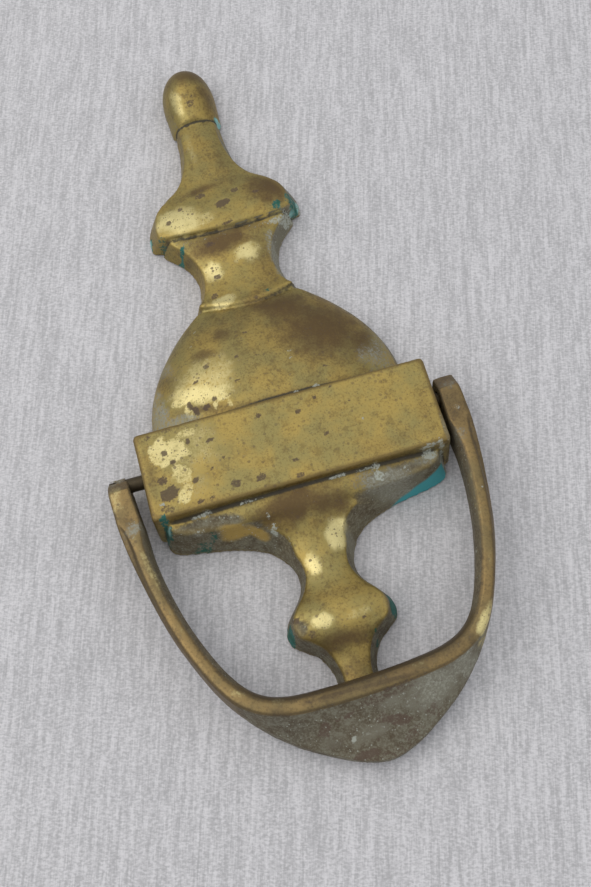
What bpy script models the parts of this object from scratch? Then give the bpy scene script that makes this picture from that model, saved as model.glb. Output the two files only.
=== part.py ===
"""Urn door knocker: a hollow cast urn, a swinging bail and its two hinge pins.

Metres, +Z up the door, the urn's front faces -Y and the door plane is y = 0.
z = 0 is the middle of the block, x = 0 the urn's centre line.
Lengths in the tables below are millimetres.
"""
import math

import bmesh
import bpy
from mathutils import Matrix, Vector

MM = 0.001
COLLECTION = "urn_door_knocker"

# Block (the tablet that carries the hinge)
BLOCK_WIDTH = 74.0
BLOCK_HEIGHT = 23.2
BLOCK_DEPTH = 15.6
BLOCK_EDGE = 0.9
BLOCK_DRAFT = 0.4

# Hinge
HINGE_Y = -8.0
HINGE_Z = 2.2
PIN_RADIUS = 1.85
PIN_SEAT_RADIUS = 1.9
LUG_HOLE_RADIUS = 2.1
PIN_INNER_X = 30.5
PIN_CHAMFER = 0.4

# Bail placement: it sits to one side of its end float and leans a little
BAIL_SHIFT_X = -1.15
BAIL_LEAN_DEG = 2.4

# Tapped holes for the two bolts that come through the door
FIXING_Z = (30.0, -43.4)
FIXING_BOSS_RADIUS = 5.5
FIXING_HOLE_RADIUS = 2.1
FIXING_HOLE_DEPTH = 7.5
FIXING_BOSS_FRONT_Y = -10.35

SECTION_STEPS = 24
ROUND_STEPS = 24

# Sections with side walls: wall width from which they are fully square-shouldered, how far out
# the corner lies along the section's points, and its share of the depth
WALL_FULL = 1.5
CORNER_AT = 2.0 / 3.0
CORNER_DEPTH = 0.86

# Urn outline, bottom to top, in runs that are each smooth:
# height at the sides, half-width, depth off the door, roundness exponent of the section,
# width of its sloping side walls (none where it is round), how much lower the same line runs at the front.
URN_RUNS = (
    ((-64.0, 2.6, 3.2, 2.2, 0.5, 0.0), (-63.2, 3.9, 4.8, 2.2, 0.9, 0.0), (-61.6, 4.8, 6.0, 2.3, 1.3, 0.0),
     (-59.6, 5.0, 6.5, 2.4, 1.6, 0.0), (-56.6, 5.1, 6.7, 2.5, 1.6, 0.0), (-54.2, 5.7, 6.9, 2.5, 1.7, 0.2),
     (-52.0, 6.7, 7.4, 2.5, 1.9, 0.5), (-50.0, 8.3, 8.2, 2.5, 2.2, 0.8), (-48.2, 10.6, 9.1, 2.5, 2.4, 1.0),
     (-46.9, 12.4, 9.8, 2.6, 2.4, 1.0)),
    ((-46.9, 12.4, 9.8, 2.6, 2.4, 1.0), (-45.6, 13.3, 10.3, 2.7, 2.4, 0.9),
     (-43.4, 13.6, 10.6, 2.8, 2.3, 0.8), (-41.2, 13.1, 10.5, 2.7, 2.4, 0.8)),
    ((-41.2, 13.1, 10.5, 2.7, 2.4, 0.8), (-39.1, 11.7, 9.9, 2.6, 2.4, 0.8),
     (-36.6, 9.5, 9.0, 2.6, 2.2, 0.6), (-34.1, 7.9, 8.3, 2.6, 1.9, 0.4), (-31.6, 7.1, 8.0, 2.6, 1.8, 0.2),
     (-29.0, 7.4, 8.1, 2.6, 1.9, 0.0), (-26.2, 8.6, 8.5, 2.5, 2.3, 0.0), (-23.6, 10.5, 9.1, 2.5, 4.0, 0.0),
     (-21.6, 13.0, 9.8, 2.5, 5.6, 0.0), (-19.9, 16.8, 10.5, 2.5, 7.6, 0.0),
     (-18.7, 21.0, 11.1, 2.5, 10.0, 0.0), (-17.8, 25.5, 11.6, 2.6, 14.0, 0.0),
     (-17.0, 30.0, 12.0, 2.8, 15.0, 0.0), (-16.2, 33.2, 12.3, 3.0, 9.5, 0.0),
     (-15.2, 35.1, 12.6, 3.2, 5.0, 0.0)),
    ((-15.2, 35.1, 12.6, 3.2, 5.0, 0.0), (-13.6, 35.8, 12.9, 3.4, 2.6, 0.0),
     (-10.4, 35.9, 13.1, 3.4, 1.8, 0.0)),
    ((-10.4, 35.9, 13.1, 3.4, 1.8, 0.0), (10.4, 33.3, 13.2, 2.4, 0.0, 0.0)),
    ((10.4, 33.3, 13.2, 2.4, 0.0, 0.0), (15.4, 33.2, 13.1, 2.4, 0.0, 0.0),
     (20.0, 32.6, 12.9, 2.4, 0.0, 0.0), (24.6, 31.4, 12.6, 2.4, 0.0, 0.0),
     (29.0, 29.5, 12.1, 2.4, 0.0, 0.3), (33.2, 27.1, 11.5, 2.4, 0.0, 0.6),
     (37.2, 24.2, 10.7, 2.4, 0.0, 1.1), (40.8, 21.0, 9.9, 2.5, 0.0, 1.7), (43.8, 17.6, 9.0, 2.6, 0.3, 2.5),
     (45.9, 14.6, 8.3, 2.7, 0.9, 3.2), (46.7, 13.0, 7.6, 2.8, 1.2, 3.5)),
    ((46.7, 13.0, 7.6, 2.8, 1.2, 3.5), (47.1, 14.0, 8.6, 2.8, 1.4, 3.5), (47.9, 14.0, 8.7, 2.9, 1.6, 3.4),
     (49.2, 13.1, 8.3, 3.0, 1.9, 3.2), (51.2, 12.2, 7.9, 3.0, 1.9, 3.0), (54.4, 11.5, 7.5, 3.0, 1.9, 2.8),
     (57.4, 11.4, 7.4, 3.0, 1.9, 2.6), (60.6, 12.3, 7.5, 3.0, 2.0, 2.4), (63.2, 13.7, 7.7, 2.9, 2.2, 2.4),
     (65.4, 15.6, 7.9, 2.8, 2.5, 2.3), (67.4, 17.6, 8.1, 2.7, 2.7, 2.2), (69.0, 18.8, 8.2, 2.7, 2.8, 2.2)),
    ((69.0, 18.8, 8.2, 2.7, 2.8, 2.2), (69.5, 18.0, 7.3, 2.7, 2.8, 2.2), (69.9, 18.4, 7.6, 2.7, 2.8, 2.2)),
    ((69.9, 18.4, 7.6, 2.7, 2.8, 2.2), (70.2, 20.3, 8.8, 2.7, 2.9, 2.2), (70.9, 21.1, 9.2, 2.7, 3.0, 2.1),
     (73.0, 21.4, 9.3, 2.6, 3.0, 1.9), (75.6, 21.1, 9.2, 2.6, 3.0, 1.7), (78.2, 20.2, 8.9, 2.5, 2.9, 1.5),
     (80.4, 18.5, 8.5, 2.5, 2.8, 1.2), (82.2, 16.4, 8.1, 2.4, 2.6, 0.9), (83.6, 14.3, 7.9, 2.4, 2.4, 0.6)),
    ((83.6, 14.3, 7.9, 2.4, 2.4, 0.6), (85.0, 12.4, 7.7, 2.4, 2.2, 0.3), (86.8, 10.8, 7.6, 2.4, 2.0, 0.0),
     (89.2, 9.4, 7.5, 2.4, 1.9, 0.0), (93.4, 7.9, 7.3, 2.4, 1.8, 0.0), (98.4, 7.0, 7.0, 2.4, 1.8, 0.0),
     (102.8, 6.6, 6.8, 2.3, 1.5, 0.0), (104.8, 6.5, 6.7, 2.3, 1.2, 0.0)),
    ((104.8, 6.5, 6.7, 2.3, 1.2, 0.0), (105.3, 5.7, 5.9, 2.2, 0.8, 0.0), (105.8, 6.7, 7.3, 2.2, 0.4, 0.0)),
    ((105.8, 6.7, 7.3, 2.2, 0.4, 0.0), (106.6, 7.1, 8.0, 2.1, 0.0, 0.0), (109.6, 7.3, 8.7, 2.1, 0.0, 0.0),
     (113.4, 7.5, 9.4, 2.0, 0.0, 0.0), (117.2, 7.5, 9.8, 2.0, 0.0, 0.0), (120.2, 7.1, 9.5, 2.0, 0.0, 0.0),
     (122.6, 6.2, 8.4, 2.0, 0.0, 0.0), (124.5, 4.7, 6.5, 2.0, 0.0, 0.0), (125.6, 3.0, 4.2, 2.0, 0.0, 0.0),
     (126.1, 1.2, 1.7, 2.0, 0.0, 0.0)),
)

# Hollow behind the urn: height, half-width, depth, exponent
CAVITY_RUN = (
    (-25.4, 4.0, 4.4, 2.4), (-23.4, 6.2, 5.8, 2.4), (-20.4, 9.6, 7.0, 2.4),
    (-17.4, 15.6, 8.0, 2.4), (-14.6, 24.0, 9.4, 2.6), (-10.6, 27.2, 10.6, 3.0),
    (-7.2, 27.6, 12.4, 3.4), (7.2, 27.6, 12.4, 3.4), (11.4, 28.6, 10.6, 2.6),
    (18.4, 29.2, 10.3, 2.4), (24.4, 28.2, 9.9, 2.4), (30.4, 25.6, 9.3, 2.4),
    (36.4, 21.6, 8.4, 2.4), (41.4, 17.0, 7.2, 2.4), (45.4, 11.8, 5.8, 2.4),
    (48.4, 9.8, 5.4, 2.4), (56.4, 8.4, 4.9, 2.6), (62.4, 10.0, 5.2, 2.5),
    (67.4, 14.0, 5.7, 2.4), (72.4, 17.9, 6.7, 2.4), (78.4, 16.6, 6.4, 2.4),
    (82.4, 12.6, 5.7, 2.4), (85.4, 8.4, 4.9, 2.4),
)

# Bail, one half from the lug's top round to the middle of the crossbar:
# inner edge x, z; outer edge x, z; ridge depth; outer edge depth; back depth inside and outside;
# how far along the run from square lug (0) to leaf (1) the section has changed.
BAIL_STATIONS = (
    (39.9, 5.9, 45.0, 5.9, 9.2, 9.0, 3.6, 3.6, 0.00),
    (39.7, 1.2, 45.0, 1.2, 13.2, 13.0, 3.2, 3.2, 0.00),
    (39.1, -7.2, 44.9, -7.2, 13.2, 13.0, 3.2, 3.2, 0.00),
    (39.0, -9.2, 44.8, -9.3, 13.3, 12.5, 3.4, 3.3, 0.12),
    (38.9, -14.6, 44.2, -14.8, 13.4, 12.1, 4.2, 3.5, 0.25),
    (38.2, -21.2, 43.1, -21.8, 13.5, 11.8, 5.2, 3.6, 0.32),
    (36.9, -28.3, 41.6, -29.5, 13.6, 11.4, 5.8, 3.6, 0.38),
    (35.1, -35.7, 39.7, -37.2, 13.7, 10.9, 6.2, 3.5, 0.45),
    (32.6, -43.0, 36.9, -44.9, 13.8, 10.2, 6.4, 3.3, 0.54),
    (29.7, -49.5, 33.8, -51.9, 13.9, 9.2, 6.5, 3.0, 0.64),
    (26.4, -54.4, 30.3, -57.6, 14.0, 8.0, 6.6, 2.6, 0.74),
    (22.6, -57.3, 25.6, -63.3, 14.0, 6.7, 6.8, 2.2, 0.84),
    (18.0, -58.8, 20.0, -68.4, 14.1, 5.6, 7.0, 1.9, 0.92),
    (12.6, -59.4, 13.6, -72.7, 14.1, 4.9, 7.2, 1.7, 0.97),
    (6.5, -59.7, 6.9, -76.3, 14.1, 4.5, 7.4, 1.6, 1.00),
    (0.0, -59.8, 0.0, -78.0, 14.1, 4.4, 7.4, 1.6, 1.00),
)
SMOOTH_FROM_STATION = 3
BAIL_SUBDIVISIONS = 3

# Widths across the bail's section, from its inner edge
LUG_EDGE = 0.5
ARM_INNER_SLOPE = 1.4
LEAF_INNER_SLOPE = 2.4
RIDGE_FLAT_ARM = 1.9
RIDGE_FLAT_LEAF = 2.2
CREASE_DROP = 1.1
CREASE_RUN = 0.5
SKIRT_HOLLOW = 0.7

MATERIALS = {
    "urn_casting": ((0.36, 0.29, 0.11), 0.42, 1.0),
    "bail": ((0.29, 0.24, 0.12), 0.48, 1.0),
    "hinge_pin_left": ((0.16, 0.14, 0.10), 0.55, 1.0),
    "hinge_pin_right": ((0.16, 0.14, 0.10), 0.55, 1.0),
}


def clear_scene():
    for obj in list(bpy.data.objects):
        bpy.data.objects.remove(obj, do_unlink=True)


def make_collection(name, parent):
    collection = bpy.data.collections.new(name)
    parent.children.link(collection)
    return collection


def make_material(name):
    colour, rough, metal = MATERIALS[name]
    material = bpy.data.materials.new(name + "_brass")
    material.use_nodes = True
    shader = material.node_tree.nodes["Principled BSDF"]
    shader.inputs["Base Color"].default_value = (*colour, 1.0)
    shader.inputs["Roughness"].default_value = rough
    shader.inputs["Metallic"].default_value = metal
    return material


def object_from_bmesh(name, bm, collection):
    bmesh.ops.recalc_face_normals(bm, faces=bm.faces)
    mesh = bpy.data.meshes.new(name)
    bm.to_mesh(mesh)
    bm.free()
    obj = bpy.data.objects.new(name, mesh)
    collection.objects.link(obj)
    return obj


def spline_point(p0, p1, p2, p3, t):
    """Catmull-Rom value between p1 and p2, for rows of numbers."""
    row = []
    for a, b, c, d in zip(p0, p1, p2, p3):
        value = 2.0 * b + (c - a) * t
        value += (2.0 * a - 5.0 * b + 4.0 * c - d) * t * t
        value += (3.0 * b - a - 3.0 * c + d) * t * t * t
        row.append(0.5 * value)
    return row


def smooth_rows(rows, steps):
    """Rows with steps - 1 extra rows between each pair, on a smooth curve."""
    first = [2.0 * a - b for a, b in zip(rows[0], rows[1])]
    last = [2.0 * a - b for a, b in zip(rows[-1], rows[-2])]
    padded = [first] + [list(r) for r in rows] + [last]
    result = []
    for i in range(1, len(padded) - 2):
        for k in range(steps):
            result.append(spline_point(*padded[i - 1:i + 3], k / steps))
    result.append(list(rows[-1]))
    return result


def mix(a, b, amount):
    return a + (b - a) * amount


def half_section(row, steps):
    """Points of one section, left to right over the front: half-round, or crowned with sloping walls."""
    height, half_width, depth, power, wall, droop = row
    walled = min(1.0, wall / WALL_FULL)
    points = []
    for k in range(steps + 1):
        angle = math.pi * k / steps
        c = math.cos(angle)
        s = math.sin(angle)
        round_x = half_width * abs(c) ** (2.0 / power)
        round_depth = depth * abs(s) ** (2.0 / power)
        out = abs(2.0 * k / steps - 1.0)
        if out > CORNER_AT:
            climb = (1.0 - out) / (1.0 - CORNER_AT)
            wall_x = half_width - wall * climb
            wall_depth = depth * CORNER_DEPTH * climb
        else:
            wall_x = (half_width - wall) * out / CORNER_AT
            wall_depth = depth * mix(1.0, CORNER_DEPTH, (out / CORNER_AT) ** 2)
        x = -math.copysign(mix(round_x, wall_x, walled), c)
        y = -mix(round_depth, wall_depth, walled)
        points.append(Vector((x, y, height - droop * s * s)) * MM)
    return points


def loft(name, rings, collection):
    """A closed solid through rings that all have the same number of points."""
    bm = bmesh.new()
    loops = [[bm.verts.new(p) for p in ring] for ring in rings]
    count = len(loops[0])
    for low, high in zip(loops, loops[1:]):
        for k in range(count):
            n = (k + 1) % count
            bm.faces.new((low[k], low[n], high[n], high[k]))
    bm.faces.new(loops[0])
    bm.faces.new(loops[-1])
    return object_from_bmesh(name, bm, collection)


def urn_rows():
    rows = []
    for run in URN_RUNS:
        steps = 2 if len(run) > 3 else 1
        smooth = smooth_rows(run, steps)
        rows.extend(smooth if not rows else smooth[1:])
    return rows


def box(name, size, centre, collection):
    bm = bmesh.new()
    bmesh.ops.create_cube(bm, size=1.0)
    bmesh.ops.scale(bm, vec=Vector(size) * MM, verts=bm.verts)
    bmesh.ops.translate(bm, vec=Vector(centre) * MM, verts=bm.verts)
    return object_from_bmesh(name, bm, collection)


def cylinder(name, radius, start, end, collection, chamfer=0.0):
    """A round bar between two points, its ends optionally chamfered."""
    start = Vector(start)
    end = Vector(end)
    along = (end - start).normalized()
    turn = Vector((0.0, 0.0, 1.0)).rotation_difference(along)
    length = (end - start).length
    stops = [(0.0, radius), (length, radius)]
    if chamfer:
        stops = [(0.0, radius - chamfer), (chamfer, radius),
                 (length - chamfer, radius), (length, radius - chamfer)]
    rings = []
    for distance, r in stops:
        ring = []
        for k in range(ROUND_STEPS):
            angle = 2.0 * math.pi * (k + 0.5) / ROUND_STEPS
            local = Vector((r * math.cos(angle), r * math.sin(angle), distance))
            ring.append((start + turn @ local) * MM)
        rings.append(ring)
    return loft(name, rings, collection)


def apply_modifiers(obj):
    """Replace the object's mesh by its evaluated one."""
    graph = bpy.context.evaluated_depsgraph_get()
    mesh = bpy.data.meshes.new_from_object(obj.evaluated_get(graph))
    obj.modifiers.clear()
    obj.data = mesh


def boolean(obj, other, operation):
    modifier = obj.modifiers.new(operation.lower(), "BOOLEAN")
    modifier.operation = operation
    modifier.solver = "EXACT"
    modifier.object = other
    apply_modifiers(obj)


def make_block(guides):
    block = box("block_blank", (BLOCK_WIDTH, BLOCK_DEPTH + 4.0, BLOCK_HEIGHT),
                (0.0, (4.0 - BLOCK_DEPTH) / 2.0, 0.0), guides)
    for vertex in block.data.vertices:
        if vertex.co.y > 0.0:
            vertex.co.x += math.copysign(BLOCK_DRAFT * MM, vertex.co.x)
    bevel = block.modifiers.new("soft_edges", "BEVEL")
    bevel.width = BLOCK_EDGE * MM
    bevel.segments = 3
    bevel.limit_method = "ANGLE"
    apply_modifiers(block)
    trim = box("block_trim", (100.0, 20.0, 60.0), (0.0, 10.0, 0.0), guides)
    boolean(block, trim, "DIFFERENCE")
    return block


def make_casting(parts, guides):
    rings = [half_section(row, SECTION_STEPS) for row in urn_rows()]
    casting = loft("urn_casting", rings, parts)
    boolean(casting, make_block(guides), "UNION")
    hollow_rings = []
    for row in smooth_rows(CAVITY_RUN, 1):
        ring = half_section(row + [0.0, 0.0], SECTION_STEPS // 2)
        ring[0].y += 3.0 * MM
        ring[-1].y += 3.0 * MM
        hollow_rings.append(ring)
    boolean(casting, loft("cavity_cutter", hollow_rings, guides), "DIFFERENCE")
    boss = cylinder("upper_boss", FIXING_BOSS_RADIUS, (0.0, 0.0, FIXING_Z[0]),
                    (0.0, FIXING_BOSS_FRONT_Y, FIXING_Z[0]), guides)
    boolean(casting, boss, "UNION")
    for index, height in enumerate(FIXING_Z):
        hole = cylinder("fixing_hole_%d" % index, FIXING_HOLE_RADIUS, (0.0, 3.0, height),
                        (0.0, -FIXING_HOLE_DEPTH, height), guides)
        boolean(casting, hole, "DIFFERENCE")
    for side, label in ((-1.0, "left"), (1.0, "right")):
        seat = cylinder("pin_seat_" + label, PIN_SEAT_RADIUS,
                        (side * (PIN_INNER_X - 0.6), HINGE_Y, HINGE_Z),
                        (side * (BLOCK_WIDTH / 2.0 + 3.0), HINGE_Y, HINGE_Z), guides)
        boolean(casting, seat, "DIFFERENCE")
    return casting


def bail_section(row, side):
    """One closed section of the bail, from the inner back edge over the front."""
    xi, zi, xo, zo, ridge, outer, back_in, back_out, change = row
    inner = Vector((xi, 0.0, zi))
    across = Vector((xo - xi, 0.0, zo - zi))
    width = across.length
    across.normalize()
    early = min(1.0, change * 4.0)
    slope = mix(LUG_EDGE, mix(ARM_INNER_SLOPE, LEAF_INNER_SLOPE, change), early)
    flat = mix(width - 2.0 * LUG_EDGE, mix(RIDGE_FLAT_ARM, RIDGE_FLAT_LEAF, change), early)
    drop = mix(0.4, CREASE_DROP, early)
    shoulder = mix(0.4, 2.6, early)
    crease = min(slope + flat + mix(0.1, CREASE_RUN, early), width - 0.25)
    fall = ridge - drop - outer
    bow = SKIRT_HOLLOW * max(0.0, change - 0.5) * 2.0
    profile = [
        (0.0, back_in), (0.0, ridge - shoulder), (slope * 0.28, ridge - shoulder * 0.46),
        (slope * 0.62, ridge - shoulder * 0.14), (slope, ridge), (slope + flat * 0.5, ridge + 0.05),
        (slope + flat, ridge - drop * 0.12), (crease, ridge - drop),
    ]
    run = width - crease
    for share in (0.25, 0.5, 0.75):
        sag = bow * 4.0 * share * (1.0 - share)
        profile.append((crease + run * share, ridge - drop - fall * share - sag))
    profile.append((width, outer))
    profile.append((width, back_out))
    profile.append((mix(width * 0.66, width * 0.42, change), mix(back_out, back_in, mix(0.34, 0.9, change))))
    points = []
    for t, depth in profile:
        p = inner + across * t
        points.append(Vector((p.x * side, -depth, p.z)) * MM)
    return points


def bail_rows():
    square = [list(r) for r in BAIL_STATIONS[:SMOOTH_FROM_STATION]]
    curved = [list(r) for r in BAIL_STATIONS[SMOOTH_FROM_STATION:]]
    mirrored = list(curved[-2])
    mirrored[0] = -mirrored[0]
    mirrored[2] = -mirrored[2]
    smooth = smooth_rows(curved + [mirrored], BAIL_SUBDIVISIONS)
    return square + smooth[:-BAIL_SUBDIVISIONS]


def lean_matrix():
    pivot = Vector((0.0, 0.0, HINGE_Z)) * MM
    turn = Matrix.Rotation(-math.radians(BAIL_LEAN_DEG), 4, "Y")
    shift = Matrix.Translation(Vector((BAIL_SHIFT_X, 0.0, 0.0)) * MM)
    return shift @ Matrix.Translation(pivot) @ turn @ Matrix.Translation(-pivot)


def make_bail(parts, guides):
    rows = bail_rows()
    rings = [bail_section(row, 1.0) for row in rows]
    rings += [bail_section(row, -1.0) for row in reversed(rows[:-1])]
    bail = loft("bail", rings, parts)
    bail.data.transform(lean_matrix())
    for side, label in ((-1.0, "left"), (1.0, "right")):
        hole = cylinder("lug_hole_" + label, LUG_HOLE_RADIUS,
                        (side * 36.0, HINGE_Y, HINGE_Z), (side * 50.0, HINGE_Y, HINGE_Z), guides)
        boolean(bail, hole, "DIFFERENCE")
    return bail


def make_pin(side, label, parts):
    lug_outer = BLOCK_WIDTH / 2.0 + 7.7 + side * BAIL_SHIFT_X
    return cylinder("hinge_pin_" + label, PIN_RADIUS,
                    (side * PIN_INNER_X, HINGE_Y, HINGE_Z),
                    (side * lug_outer, HINGE_Y, HINGE_Z), parts, PIN_CHAMFER)


def set_origin(obj, point):
    """Move the object's origin to a world point without moving its mesh."""
    offset = Vector(point) * MM
    obj.data.transform(Matrix.Translation(-offset))
    obj.location = offset


def finish_part(obj):
    obj.data.materials.clear()
    obj.data.materials.append(make_material(obj.name))
    bm = bmesh.new()
    bm.from_mesh(obj.data)
    bmesh.ops.remove_doubles(bm, verts=bm.verts, dist=0.00002)
    bmesh.ops.dissolve_degenerate(bm, edges=bm.edges, dist=0.00001)
    bmesh.ops.recalc_face_normals(bm, faces=bm.faces)
    bm.to_mesh(obj.data)
    bm.free()


def main():
    clear_scene()
    root = bpy.context.scene.collection
    parts = make_collection(COLLECTION, root)
    guides = make_collection(COLLECTION + "_guides", root)
    made = [make_casting(parts, guides), make_bail(parts, guides)]
    made.append(make_pin(-1.0, "left", parts))
    made.append(make_pin(1.0, "right", parts))
    for obj in made:
        finish_part(obj)
    set_origin(made[1], (0.0, HINGE_Y, HINGE_Z))
    for guide in guides.objects:
        guide.hide_render = True
        guide.display_type = "WIRE"


main()
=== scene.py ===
"""Looks of the urn door knocker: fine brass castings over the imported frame, aged brass materials,
a pale cloth, soft light and the camera.

Lengths in the tables and in the mesh code are millimetres until a piece is scaled to metres at its end.
"""
import math

import bmesh
import bpy
import numpy as np
from mathutils import Matrix, Vector
from mathutils.bvhtree import BVHTree


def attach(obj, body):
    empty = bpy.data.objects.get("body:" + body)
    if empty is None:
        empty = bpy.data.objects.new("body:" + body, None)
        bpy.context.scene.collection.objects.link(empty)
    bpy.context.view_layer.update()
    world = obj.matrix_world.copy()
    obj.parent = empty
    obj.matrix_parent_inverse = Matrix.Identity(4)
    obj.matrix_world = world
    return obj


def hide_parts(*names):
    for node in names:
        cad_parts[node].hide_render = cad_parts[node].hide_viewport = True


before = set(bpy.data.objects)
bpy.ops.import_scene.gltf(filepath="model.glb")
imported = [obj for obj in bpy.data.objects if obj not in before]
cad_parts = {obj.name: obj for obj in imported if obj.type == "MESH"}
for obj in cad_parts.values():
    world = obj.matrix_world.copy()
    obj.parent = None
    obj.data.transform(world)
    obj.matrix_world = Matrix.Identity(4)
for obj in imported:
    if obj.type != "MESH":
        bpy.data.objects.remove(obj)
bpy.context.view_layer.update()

MM = 0.001

# ---------------------------------------------------------------- shape, as in the CAD source

BLOCK_WIDTH = 74.0
BLOCK_HEIGHT = 23.2
BLOCK_DEPTH = 15.6
BLOCK_EDGE = 0.9
BLOCK_DRAFT = 0.4
HINGE_Y = -8.0
HINGE_Z = 2.2
PIN_RADIUS = 1.85
PIN_SEAT_RADIUS = 1.9
LUG_HOLE_RADIUS = 2.1
PIN_INNER_X = 30.5
BAIL_SHIFT_X = -1.15
BAIL_LEAN_DEG = 2.4
FIXING_Z = (30.0, -43.4)
FIXING_BOSS_RADIUS = 5.5
FIXING_HOLE_RADIUS = 2.1
FIXING_HOLE_DEPTH = 7.5
FIXING_BOSS_FRONT_Y = -10.35
WALL_FULL = 1.5  # side walls at least this wide are fully flat
CORNER_AT = 2.0 / 3.0
CORNER_DEPTH = 0.86

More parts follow.
